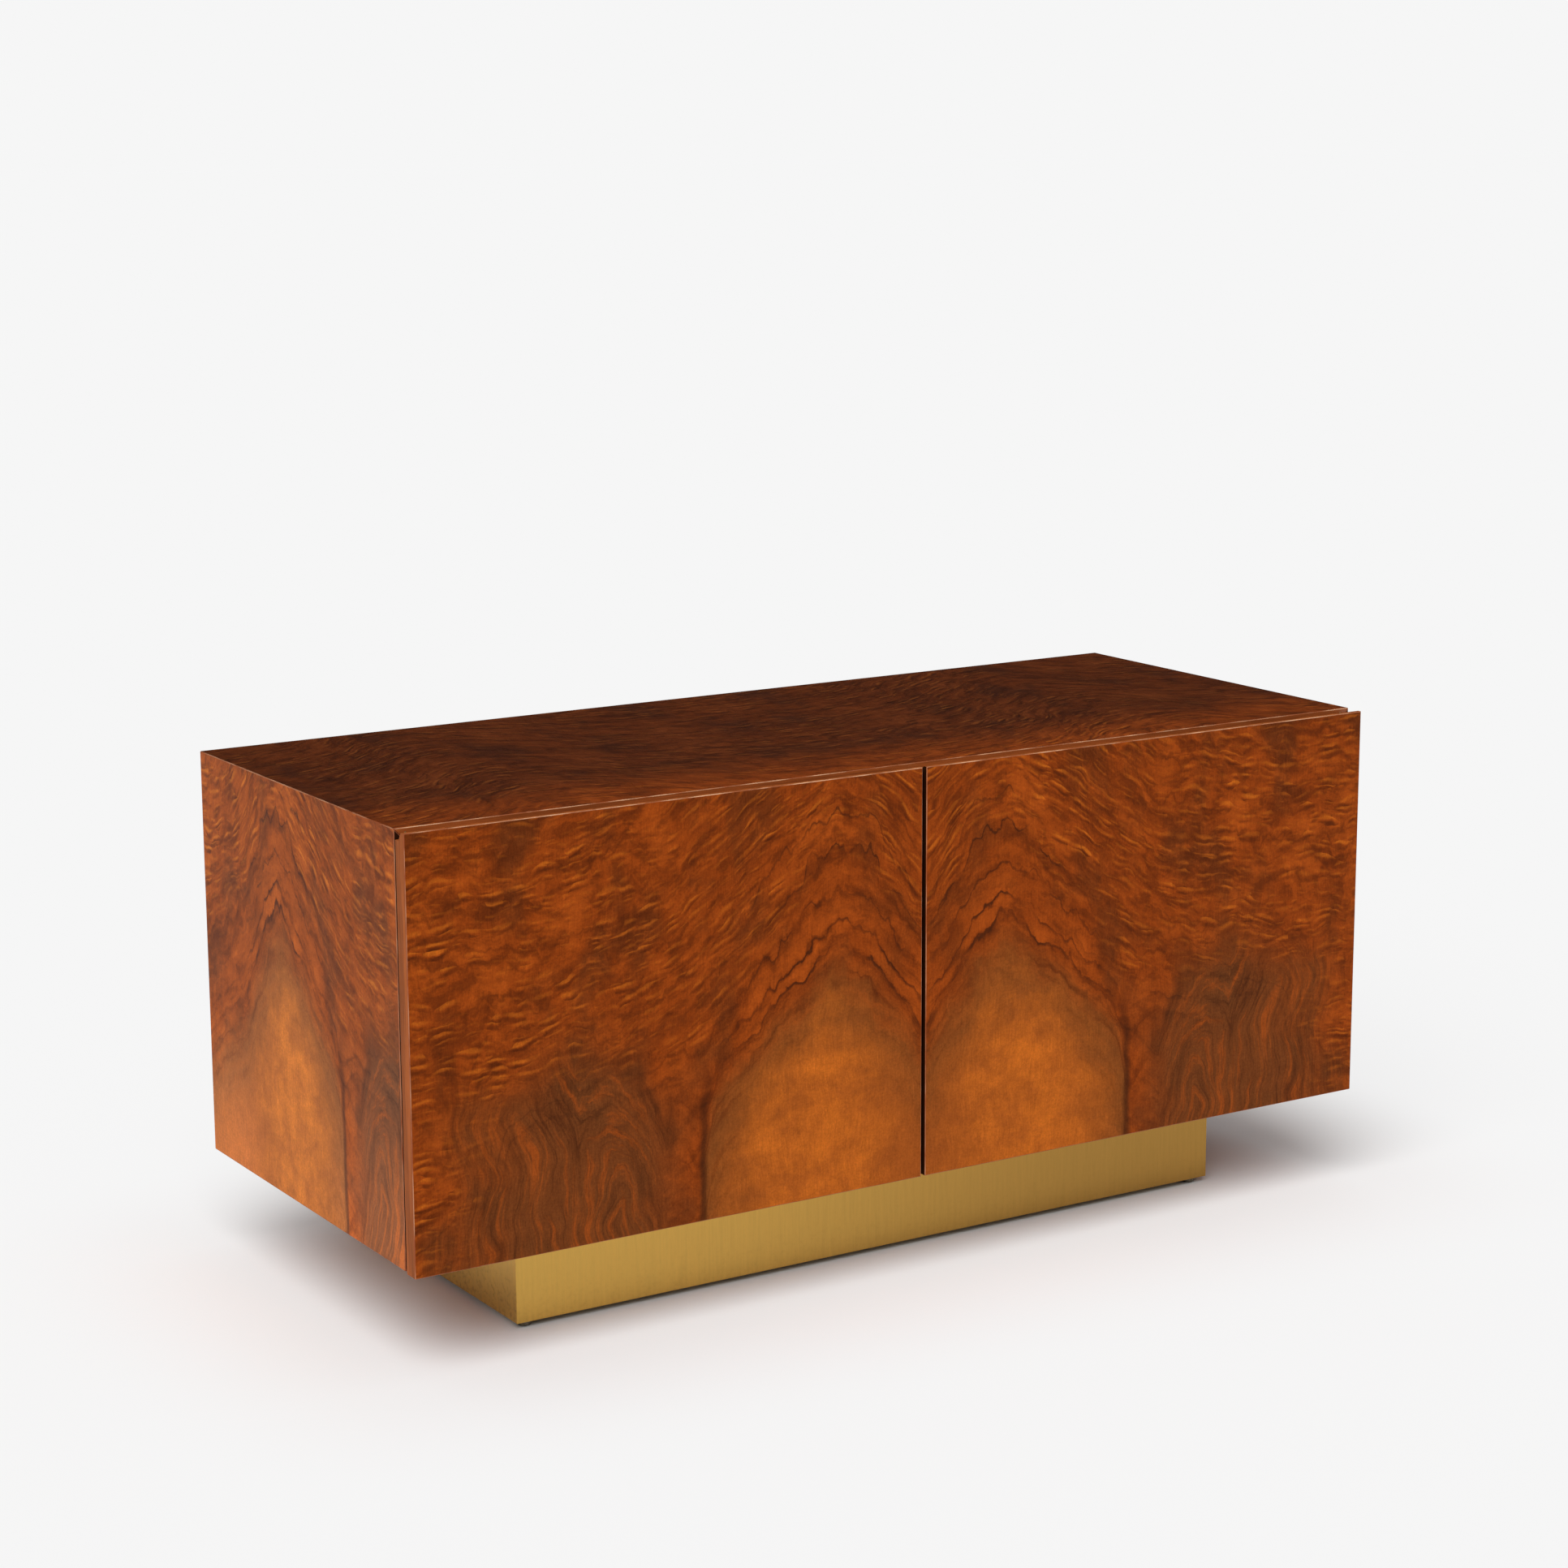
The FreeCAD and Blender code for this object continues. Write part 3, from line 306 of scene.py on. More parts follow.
# Patterns of a crotch leaf: spacing in millimetres along the axes of their place, detail and roughness.
PATTERNS = {
    "sway": (110, 110, 110, 2, 0.5),
    "wave": (26, 110, 50, 2.5, 0.55),
    "ragged": (14, 14, 14, 4, 0.6),
    "cloud": (90, 900 / 7, 90, 4, 0.6),
    "patch": (120, 120, 120, 2, 0.5),
    "ring strength": (55, 35, 10, 1, 0.5),
    "wriggle": (32, 32, 32, 3, 0.5),
    "speck": (2.4, 2.4, 2.4, 4, 0.8),
    "smoke": (46, 42, 1, 6, 0.66),
    "pore": (0.9, 22, 1, 2, 0.5),
    "fibre": (3.2, 48, 1, 4, 0.65),
    "flow": (150, 16, 1, 3, 0.6),
    "blot": (30, 17, 1, 3, 0.6),
    "streak": (13, 230, 90, 6, 0.72),
    "loop": (30, 330, 90, 1.5, 0.5),
    "column": (38, 300, 90, 3, 0.5),
}
# Places along the leaf in millimetres: crown of the arch, middle of the golden heart, dark line at the arch's
# outer foot and middle of the straight grain. Then how far that middle sways, and half the width of a pillar.
CROWN, ARCH_MIDDLE, SEAM, STRAIGHT_MIDDLE = 112, 130, 272, 425
STRAIGHT_SWAY, PILLAR_HALF = 200, 52


def drawn_curve(tree, value, points, low, high):
    """Read a drawn curve of (place, height) points at the value; heights run from low to high."""
    start, end = points[0][0], points[-1][0]
    share = add(tree, "MapRange", value, start, end)
    height = add(tree, "FloatCurve", {"Value": share})
    mapping = height.node.mapping
    curve = mapping.curves[0]
    while len(curve.points) < len(points):
        curve.points.new(0.5, 0.5)
    for point, (x, y) in zip(curve.points, points):
        point.location = ((x - start) / (end - start), (y - low) / (high - low))
    mapping.update()
    return add(tree, "MapRange", {"Value": height, "To Min": low, "To Max": high})


def drawn_patterns(tree, places):
    """Draw the named patterns of the leaf, each over its own place in millimetres."""
    drawn = {}
    for name, place in places.items():
        *spacing, detail, roughness = PATTERNS[name]
        spread = add(tree, "VectorMath MULTIPLY", place, [1 / gap for gap in spacing])
        noise = {"Vector": spread, "Scale": 1.0, "Detail": detail, "Roughness": roughness}
        drawn[name] = add(tree, "TexNoise", noise)
    return drawn


def curl_relief(tree, wood, place):
    """Relief of the curls in two sizes: lens-shaped ripples, high above their middle and low below it."""
    put = partial(add, tree)
    reliefs = []
    for share in (1, 0.6):
        size = (0.001 / wood.curl_length / share, 0.001 / wood.curl_height / share, 0)
        curl_place = put("VectorMath MULTIPLY", place, size)
        cell = put("TexVoronoi", {"Vector": curl_place, "Scale": 1}, voronoi_dimensions="2D").node.outputs
        local = put("VectorMath SUBTRACT", curl_place, cell["Position"])
        rise = put("SeparateXYZ", local, out=1)
        chance = put("SeparateXYZ", cell["Color"])
        fade = put("MapRange", cell["Distance"], 0.72, 0.05, **SOFT)
        body = put("Math MULTIPLY", rise, fade)
        shown = put("MapRange", chance, 0.3, 1)
        reliefs.append(put("Math MULTIPLY", body, shown))
    return put("Math MULTIPLY_ADD", reliefs[1], 0.5, reliefs[0])


def crotch_leaf(wood):
    """Node group of one leaf of crotch walnut, from the distance to its book-match line and its height."""
    tree = bpy.data.node_groups.new("crotch_walnut_leaf", "ShaderNodeTree")
    put = partial(add, tree)
    for name in ("Across", "Up", "Leaf"):
        tree.interface.new_socket(name, in_out="INPUT", socket_type="NodeSocketFloat")
    tree.interface.new_socket("Color", in_out="OUTPUT", socket_type="NodeSocketColor")
    tree.interface.new_socket("Figure", in_out="OUTPUT", socket_type="NodeSocketFloat")
    across, up, leaf = tree.nodes.new("NodeGroupInput").outputs[:3]
    place = put("CombineXYZ", across, up, leaf)

    # The grain wanders: wide sways, upright waves that run through many growth lines and grow upwards, and a
    # ragged edge. From here x runs from the book-match line and z up, both along the wandering grain.
    sway = drawn_patterns(tree, {"sway": place})["sway"].node.outputs["Color"]
    sway_shift = put("VectorMath MULTIPLY_ADD", sway, (36, 36, 0), (-18, -18, 0))
    swayed = put("VectorMath ADD", place, sway_shift)
    seen = drawn_patterns(tree, {
        "wave": place, "ragged": place, "cloud": place, "patch": place, "ring strength": place,
        "wriggle": place, "speck": place, "smoke": swayed, "pore": swayed, "fibre": swayed})
    wave_size = put("MapRange", up, 90, 300, 8, 62, **SOFT)
    wave_middle = put("Math SUBTRACT", seen["wave"], 0.5)
    ragged_shift = put("Math MULTIPLY_ADD", seen["ragged"], 16, -8)
    x, swayed_up = put("SeparateXYZ", swayed).node.outputs[:2]
    waved = put("Math MULTIPLY_ADD", wave_middle, wave_size, swayed_up)
    z = put("Math ADD", waved, ragged_shift)

    # Height over the arch line.
    low = drawn_curve(tree, x, ARCH_LOW, *HEIGHT_RANGE)
    high = drawn_curve(tree, x, ARCH_HIGH, *HEIGHT_RANGE)
    lift = put("MapRange", z, 100, 270, **SOFT)
    arch = put("Mix", {"Factor": lift, "A": low, "B": high})
    over = put("Math SUBTRACT", z, arch)

    # The golden heart lies under the arch, with clouded edges and a grey margin round it.
    clouded = put("Math MULTIPLY_ADD", seen["cloud"], 110, over)
    hazy = put("Math MULTIPLY_ADD", seen["smoke"], 90, clouded)
    depth = put("MapRange", hazy, 74, -76, **SOFT)
    flank = put("MapRange", x, 290, 165, **SOFT)
    gold = put("Math MULTIPLY", depth, flank)
    misty = put("Math MULTIPLY_ADD", seen["smoke"], 64, over)
    under = put("MapRange", misty, 40, -55, **SOFT)
    inner = put("MapRange", x, 279, 267, **SOFT)
    margin = put("Math MULTIPLY", under, inner)

    # The straight grain beside the arch stands upright at the foot and closes higher up in a ragged hump.
    hump_sway = put("Math MULTIPLY_ADD", seen["patch"], STRAIGHT_SWAY, -STRAIGHT_MIDDLE - STRAIGHT_SWAY / 2)
    hump_off = put("Math ADD", x, hump_sway)
    hump_side = put("Math MULTIPLY", hump_off, 0.74)
    hump_rise = put("MapRange", z, 20, 300, 0, 140, **SOFT)
    hump = put("VectorMath LENGTH", put("CombineXYZ", hump_side, hump_rise), out=1)
    hump_rim = put("Math MULTIPLY_ADD", seen["cloud"], 90, hump)
    straight = put("MapRange", hump_rim, 190, 90, **SOFT)
    # Its lines stand in pillars side by side, taller away from the arch.
    pillar_off = put("Math MULTIPLY_ADD", seen["patch"], 90, x)
    pillar_side = put("Math PINGPONG", pillar_off, PILLAR_HALF)
    pillar_start = put("Math MULTIPLY_ADD", x, -0.9, 270)
    pillar_up = put("Math ADD", z, pillar_start)
    pillar_rise = put("MapRange", pillar_up, -60, 120, 0, 80, **SOFT)
    pillar = put("VectorMath LENGTH", put("CombineXYZ", pillar_side, pillar_rise), out=1)
    pillar_lines = put("CombineXYZ", pillar, swayed_up, x)

    # The curls lie along the flow of the grain, outside the arch and off the straight grain, and wriggle.
    curl_start = put("MapRange", x, 120, 320, 55, 5)
    curl_over = put("Math SUBTRACT", over, curl_start)
    curl_rise = put("MapRange", curl_over, 5, 110, **SOFT)
    patchy = put("MapRange", seen["patch"], 0.38, 0.6, 0.4, 1)
    rough_zone = put("Math MULTIPLY", curl_rise, patchy)
    not_straight = put("Math MULTIPLY_ADD", straight, -0.75, 1)
    curl_zone = put("Math MULTIPLY", rough_zone, not_straight)
    curl_up = put("Math MULTIPLY_ADD", high, -0.65, swayed_up)
    level = put("CombineXYZ", x, curl_up)
    wriggle = seen["wriggle"].node.outputs["Color"]
    bent = put("VectorMath MULTIPLY_ADD", wriggle, (24, 13, 0), level)
    leaf_place = put("VectorMath MULTIPLY_ADD", leaf, (37, 91, 0), bent)
    relief = curl_relief(tree, wood, leaf_place)
    lit = put("MapRange", relief, 0.01, 0.18)
    shaded = put("MapRange", relief, -0.01, -0.18)

    # Growth lines, each stronger here and fainter there, fading away from the crown of the arch.
    tone = drawn_curve(tree, over, RINGS, 0.0, 1.0)
    tone_swing = put("Math MULTIPLY_ADD", tone, 2, -1)
    strength = put("MapRange", seen["ring strength"], 0.36, 0.56, 0.2, 1)
    crown_gap = put("Math ABSOLUTE", put("Math SUBTRACT", x, CROWN))
    near = put("MapRange", crown_gap, 150, 50, 0.3, 1, **SOFT)
    ring_zone = put("Math MULTIPLY", strength, near)
    ring = put("Math MULTIPLY", tone_swing, ring_zone)
    ambers = put("Math MAXIMUM", ring, 0)
    veins = put("Math MULTIPLY", ring, -1)

    # Streaks along the flow, lines of the straight grain, some nested in loops, and blots among the curls.
    flow_lines = put("CombineXYZ", x, over, leaf)
    seen |= drawn_patterns(tree, {"flow": flow_lines, "streak": pillar_lines, "loop": pillar_lines,
                                  "column": pillar_lines, "blot": bent})
    nested = put("Math PINGPONG", put("Math MULTIPLY", seen["loop"], 9), 0.5)
    loops = put("MapRange", nested, 0.2, 0.02)

    # One dark line runs down from the arch's outer foot.
    seam_gap = put("Math ABSOLUTE", put("Math SUBTRACT", x, SEAM))
    seam_side = put("MapRange", seam_gap, 8, 0.5, **SOFT)
    seam_low = put("MapRange", up, 200, 110, **SOFT)

    # Colours, laid from the widest zone to the finest line: the mask, or the pattern and span that it comes
    # from, the zone it is kept to, its share and its colour.
    free = put("Math SUBTRACT", 1, put("Math MAXIMUM", gold, straight))
    not_gold = put("Math SUBTRACT", 1, gold)
    side_fall = put("MapRange", x, -10, 110, 0.2, 1, **SOFT)
    clear = put("MapRange", seen["smoke"], 0.62, 0.35, 0.3, 1)
    heart = put("Math MULTIPLY", side_fall, clear)
    layers = (
        (("cloud", 0.52, 0.32), None, 0.75, wood.dusk),
        (("cloud", 0.5, 0.7), None, 0.6, wood.amber),
        (("blot", 0.52, 0.35), free, 0.55, wood.curl_dark),
        (("blot", 0.52, 0.7), free, 0.42, wood.amber),
        (margin, None, 0.72, wood.margin),
        (straight, None, 0.8, wood.straight_zone),
        (("flow", 0.5, 0.32), free, 0.5, wood.curl_dark),
        (("flow", 0.52, 0.7), free, 0.25, wood.amber),
        (gold, None, 0.9, wood.gold_shade),
        (gold, heart, 1.0, wood.gold),
        (("column", 0.48, 0.66), straight, 0.68, wood.vein),
        (loops, straight, 0.25, wood.vein),
        (("streak", 0.5, 0.7), straight, 0.8, wood.vein),
        (("streak", 0.5, 0.34), straight, 0.55, wood.amber),
        (lit, curl_zone, 0.62, wood.curl_light),
        (shaded, curl_zone, 0.9, wood.curl_dark),
        (ambers, free, 0.6, wood.amber),
        (veins, not_gold, 0.88, wood.vein),
        (seam_side, seam_low, 0.7, wood.vein),
    )
    tint = (*wood.field, 1)
    for mask, zone, share, paint in layers:
        if isinstance(mask, tuple):
            name, *span = mask
            mask = put("MapRange", seen[name], *span, **SOFT)
        if zone is not None:
            mask = put("Math MULTIPLY", mask, zone)
        factor = put("Math MULTIPLY", mask, share, use_clamp=True)
        tint = put("Mix", {0: factor, 6: tint, 7: (*paint, 1)}, **BLEND)
    # Pores, specks, fibres and a faint mottle each lighten and darken it, by about a fifth at most.
    for name, darkest, lightest in (("pore", 0.88, 1.1), ("speck", 0.78, 1.2), ("fibre", 0.92, 1.08),
                                    ("ragged", 0.92, 1.08)):
        gain = put("MapRange", seen[name], *NOISE_SPAN, darkest, lightest)
        tint = put("VectorMath MULTIPLY", tint, gain)
    result = tree.nodes.new("NodeGroupOutput")
    tree.links.new(tint, result.inputs["Color"])
    tree.links.new(seen["pore"], result.inputs["Figure"])


def straight_grain(tree, wood, place, stretch):
    """Straight-grained walnut: dark streaks 9 mm wide and finer, drawn out along the board, with pores over
    them."""
    put = partial(add, tree)
    streak_place = put("VectorMath MULTIPLY", place, stretch)
    streak = put("TexNoise", {"Vector": streak_place, "Scale": 1 / 9, "Detail": 6, "Roughness": 0.66,
                              "Distortion": 0.25})
    share = put("MapRange", streak, 0.36, 0.68, **SOFT)
    pore = put("TexNoise", {"Vector": streak_place, "Scale": 1 / 0.9, "Detail": 2})
    shade = put("MapRange", pore, *NOISE_SPAN, 0.88, 1.1)
    tint = put("Mix", {0: share, 6: (*wood.plain, 1), 7: (*wood.plain_dark, 1)}, **BLEND)
    return put("VectorMath MULTIPLY", tint, shade), pore


def lacquer(tree, shader, grain, roughness):
    """Satin lacquer that sinks a little into the pores: a slightly uneven sheen."""
    rough = add(tree, "MapRange", grain, *NOISE_SPAN, roughness - 0.05, roughness + 0.05)
    bump = add(tree, "Bump", {"Height": grain, "Strength": 0.12, "Distance": 0.0001})
    tree.links.new(rough, shader.inputs["Roughness"])
    tree.links.new(bump, shader.inputs["Normal"])


def straight_veneer(name, wood, stretch, roughness):
    """Lacquered board of straight-grained walnut on all its faces."""
    material, tree, shader = new_material(f"straight_walnut_{name}_veneer_satin_lacquer")
    tint, pore = straight_grain(tree, wood, millimetres(tree), stretch)
    tree.links.new(tint, shader.inputs["Base Color"])
    lacquer(tree, shader, pore, roughness)
    return material


def crotch_veneer(name, wood, outward, across, foot, seed, stretch, roughness, painted_gap_shade=None, painted_end_light=None,
                  shade=None, **constants):
    """Lacquered board: crotch veneer on the face that looks outward, straight-grained walnut on the rest.
    Across is (axis, scale, offset, mirrored) of the distance from the book-match line and foot the (axis,
    offset) of the leaf's foot. The painted gap shade is the way that an edge faces where painted shade
    darkens it in a gap, the painted end light the gain of painted light and painted sheen on the figure, with
    more painted sheen low down, and shade the gain of painted shade and painted sheen that darkens it away
    from its front edge."""
    material, tree, shader = new_material(f"crotch_walnut_{name}_lacquer", **constants)
    put = partial(add, tree)
    place = millimetres(tree)
    axes = put("SeparateXYZ", place).node.outputs
    axis, scale, offset, mirrored = across
    along = axes[axis]
    if mirrored:
        right = put("Math GREATER_THAN", along, 0)
        seed = put("Math MULTIPLY_ADD", right, 5, seed)
        along = put("Math ABSOLUTE", along)
    distance = put("Math MULTIPLY_ADD", along, scale, offset)
    height = put("Math SUBTRACT", axes[foot[0]], foot[1])
    figure = put("Group", {"Across": distance, "Up": height, "Leaf": seed},
                 node_tree=bpy.data.node_groups["crotch_walnut_leaf"]).node.outputs
    normal = put("TexCoord", out=1)
    facing = put("VectorMath DOT_PRODUCT", normal, outward, out=1)
    face = put("MapRange", facing, 0.6, 0.75)
    plain, _ = straight_grain(tree, wood, place, stretch)
    aged = figure["Color"]
    # The ends are lit by painted light and a painted sheen.
    if painted_end_light:
        # The painted sheen is palest low down, on both sides of the arch.
        low = put("MapRange", height, 150, -20, **SOFT)
        arch_gap = put("Math ABSOLUTE", put("Math SUBTRACT", distance, ARCH_MIDDLE))
        beside = put("MapRange", arch_gap, 70, 160, 0, 0.54, **SOFT)
        painted_sheen_gain = put("Math MULTIPLY_ADD", low, beside, 1)
        painted_end_lit = put("VectorMath MULTIPLY", aged, painted_end_light)
        aged = put("VectorMath MULTIPLY", painted_end_lit, painted_sheen_gain)
    # Painted shade and a painted bluish sheen, weakest at the front edge.
    if shade:
        share = put("MapRange", axes[1], -260, -70, 0.13, 1, **SOFT)
        gain = put("Mix", {0: share, 6: (1, 1, 1, 1), 7: (*shade, 1)}, **BLEND)
        aged = put("VectorMath MULTIPLY", aged, gain)
    # Painted shade on the edges that face into the gaps round the doors.
    if painted_gap_shade:
        toward = put("VectorMath DOT_PRODUCT", normal, painted_gap_shade, out=1)
        gap = put("MapRange", toward, 0.75, 0.95)
        plain = put("Mix", {0: gap, 6: plain, 7: (*wood.painted_gap_shade_tone, 1)}, **BLEND)
    tint = put("Mix", {0: face, 6: plain, 7: aged}, **BLEND)
    tree.links.new(tint, shader.inputs["Base Color"])
    lacquer(tree, shader, figure["Figure"], roughness)
    return material


def worn_highlit_arris(wood):
    """Walnut edge rubbed through to pale wood and lacquered, with a painted highlight: a thin bright line
    along the edges, strongest on edges that face up and to the front, where the light falls, and not on the
    corners."""
    _, tree, shader = new_material("walnut_arris_rubbed_highlit", Roughness=0.3, Specular_IOR_Level=0.2)
    put = partial(add, tree)
    rub = put("TexNoise", {"Vector": millimetres(tree), "Scale": 1 / 35, "Detail": 4})
    share = put("MapRange", rub, 0.4, 0.64, 0.15, 1)
    normal = put("TexCoord", out=1)
    # Painted highlight, strongest on edges that face up and to the front, towards the light.
    toward_light = put("VectorMath DOT_PRODUCT", normal, (0, -0.5, 0.87), out=1)
    highlight_facing = put("MapRange", toward_light, 0.05, 0.8)
    parts = put("SeparateXYZ", normal).node.outputs
    level = put("Math MULTIPLY", parts[0], parts[1])
    skew = put("Math ABSOLUTE", put("Math MULTIPLY", level, parts[2]))
    square = put("MapRange", skew, 0.1, 0.03)
    reached = put("Math MULTIPLY", highlight_facing, square)
    rubbed_and_highlit = put("Math MULTIPLY", share, reached)
    tint = put("Mix", {0: rubbed_and_highlit, 6: (*wood.field, 1), 7: (*wood.arris_pale_highlight, 1)}, **BLEND)
    tree.links.new(tint, shader.inputs["Base Color"])


class CABINET_OT_leaf(bpy.types.Operator):
    """Make the crotch walnut figure and the rubbed edge with a painted highlight that the veneered boards
    share
    """
    bl_idname = "cabinet.leaf"
    bl_label = "Veneer Figure"

    def execute(self, context):
        crotch_leaf(context.scene.cabinet_wood)
        worn_highlit_arris(context.scene.cabinet_wood)
        return {"FINISHED"}


class CABINET_OT_doors(bpy.types.Operator):
    """Dress the two doors in book-matched crotch walnut"""
    bl_idname = "cabinet.doors"
    bl_label = "Doors"

    def execute(self, context):
        wood = context.scene.cabinet_wood
        # Crotch walnut veneer, stained and sprayed with satin lacquer: deep red-brown with little sheen face
        # on. The two doors are turned leaves of one flitch, and the edges where they meet are darkened by
        # painted shade.
        for side, inward, seed in (("left", 1, 3.0), ("right", -1, 8.0)):
            low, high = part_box(side + "_door")
            meeting = high.x if side == "left" else low.x
            material = crotch_veneer(f"{side}_door_veneer_satin", wood, outward=(0, -1, 0),
                                     across=(0, -inward, inward * meeting * 1000, False),
                                     foot=(2, low.z * 1000), seed=seed, stretch=UPRIGHT, roughness=0.42,
                                     painted_gap_shade=(inward, 0, 0), Specular_IOR_Level=0.03)
            dress([side + "_door"], material)
        # Long edges eased, rubbed pale and given a painted highlight.
        ease_edges(("left_door", "right_door"), wood.arris, rubbed=True)
        return {"FINISHED"}


class CABINET_OT_case(bpy.types.Operator):
    """Dress the mitred case boards in crotch walnut"""
    bl_idname = "cabinet.case"
    bl_label = "Case"

    def execute(self, context):
        wood = context.scene.cabinet_wood
        # The same flitch on both ends, lighter and bluer by painted light and a painted sheen, with painted
        # shade on their front edges and as little sheen as the doors.
        for side, outward in (("left", -1), ("right", 1)):
            material = crotch_veneer(f"{side}_end_veneer_satin", wood, outward=(outward, 0, 0),
                                     across=(1, -1.14, 166, False), foot=(2, 148), seed=11.0,
                                     stretch=UPRIGHT, roughness=0.4, painted_gap_shade=(0, -1, 0),
                                     painted_end_light=tuple(wood.painted_end_light), Specular_IOR_Level=0.03)
            dress([side + "_side_board"], material)
        # The top is chocolate brown, darkened by painted shade and greyed by a painted sheen away from its
        # front edge, with the figure faint under a deeper polish.
        material = crotch_veneer("top_veneer_polished", wood, outward=(0, 0, 1), across=(0, -1, 500, True),
                                 foot=(1, -640), seed=71.0, stretch=LENGTHWISE, roughness=0.32,
                                 shade=tuple(wood.top_painted_shade_and_sheen), Specular_IOR_Level=0.4)
        dress(["top_board"], material)
        # The bottom board is straight-grained walnut on both faces.
        dress(["bottom_board"], straight_veneer("bottom", wood, LENGTHWISE, 0.45))
        boards = ("top_board", "bottom_board", "left_side_board", "right_side_board")
        # Long edges eased, rubbed pale and given a painted highlight.
        ease_edges(boards, wood.arris, rubbed=True)
        return {"FINISHED"}


class CABINET_OT_inside(bpy.types.Operator):
    """Dress the partition, shelves and back panel"""
    bl_idname = "cabinet.inside"
    bl_label = "Inside"

    def execute(self, context):
        wood = context.scene.cabinet_wood
        # Straight-grained walnut veneer under a thin satin lacquer.
        for name, nodes, stretch in (("upright", ["centre_partition"], UPRIGHT),
                                     ("shelf", ["left_shelf", "right_shelf"], LENGTHWISE),
                                     ("back", ["back_panel"], (1, 1, 0.03))):
            dress(nodes, straight_veneer(name, wood, stretch, 0.48))
            ease_edges(nodes, wood.arris / 2)
        return {"FINISHED"}


def two_toned(name, dark, pale, spacing, detail, noise_roughness=0.5, stretch=(1, 1, 1), span=NOISE_SPAN,
              sheen=None, **constants):
    """Material whose colour drifts between two tones, over spots of the given spacing in millimetres, and so
    does its sheen where one is given."""
    material, tree, shader = new_material(name, **constants)
    put = partial(add, tree)
    place = put("VectorMath MULTIPLY", millimetres(tree), stretch)
    noise = {"Vector": place, "Scale": 1 / spacing, "Detail": detail, "Roughness": noise_roughness}
    grain = put("TexNoise", noise)
    share = put("MapRange", grain, *span)
    tint = put("Mix", {0: share, 6: (*dark, 1), 7: (*pale, 1)}, **BLEND)
    tree.links.new(tint, shader.inputs["Base Color"])
    if sheen:
        rough = put("MapRange", grain, *span, *sheen)
        tree.links.new(rough, shader.inputs["Roughness"])
    return material


class CABINET_OT_plinth(bpy.types.Operator):
    """Dress the brass sheets and the wooden frame of the plinth"""
    bl_idname = "cabinet.plinth"
    bl_label = "Plinth"

    def execute(self, context):
        wood = context.scene.cabinet_wood
        sheets = ["plinth_front_brass", "plinth_left_brass", "plinth_right_brass"]
        dress(sheets, self.brass(context.scene.cabinet_metal))
        ease_edges(sheets, wood.arris / 2)
        # Planed poplar, left bare: pale with greenish-brown streaks.
        material = two_toned("poplar_planed", linear("#B59A6C"), linear("#8C7248"), spacing=9, detail=4,
                             stretch=(0.03, 1, 1), span=(0.35, 0.7), Roughness=0.7)
        rails = [f"plinth_{name}_rail" for name in ("front", "back", "left", "cross", "right")]
        dress(rails + ["plinth_corner_blocks", "mitre_splines"], material)
        ease_edges(rails + ["plinth_corner_blocks"], wood.arris)
        return {"FINISHED"}

    def brass(self, metal):
        """Rolled brass sheet, brushed upright by hand: fine upright scratches, drawn about 4 mm apart so that
        they show, brown patina along the foot, and painted shade that darkens it towards the right."""
        material, tree, shader = new_material("rolled_brass_sheet_brushed", Metallic=1.0)
        put = partial(add, tree)
        place = millimetres(tree)
        brushed = put("VectorMath MULTIPLY", place, (1 / 4, 1 / 4, 1 / 55))
        scratch = put("TexNoise", {"Vector": brushed, "Scale": 1, "Detail": 4, "Roughness": 0.7})
        mottle = put("TexNoise", {"Vector": place, "Scale": 1 / 6, "Detail": 5, "Roughness": 0.75})
        along, _, height = put("SeparateXYZ", place).node.outputs
        low = put("MapRange", height, 85, 8, **SOFT)
        spots = put("MapRange", mottle, 0.5, 0.75)
        normal = put("TexCoord", out=1)
        ahead = put("VectorMath DOT_PRODUCT", normal, (0, -1, 0), out=1)
        end = put("MapRange", ahead, 0.2, 0.8, 0.8, 0.2)
        lower = put("Math MULTIPLY", low, end)
        patina = put("Math MULTIPLY", spots, lower)
        # Painted shade, darker towards the right.
        painted_shade_share = put("MapRange", along, -480, 400, **SOFT)
        sheet = put("Mix", {0: painted_shade_share, 6: (*metal.brass, 1), 7: (*metal.brass_painted_shade, 1)}, **BLEND)
        tint = put("Mix", {0: patina, 6: sheet, 7: (*metal.brass_dark, 1)}, **BLEND)
        even = put("MapRange", scratch, *NOISE_SPAN, 0.92, 1.08)
        scratched = put("VectorMath MULTIPLY", tint, even)
        rough = put("MapRange", scratch, *NOISE_SPAN, 0.3, 0.42)
        tree.links.new(scratched, shader.inputs["Base Color"])
        tree.links.new(rough, shader.inputs["Roughness"])
        return material


# Section of the loose splines across the mitres, their gap to the back panel, how far their ends stand back
# from the case's back edge, the length of the taper there and what it leaves of the section. Sizes in metres.
SPLINE_WIDTH, SPLINE_THICK, SPLINE_GAP = 0.012, 0.004, 0.0001
SPLINE_BACK, SPLINE_TAPER, SPLINE_TIP = 0.0004, 0.0004, 0.97


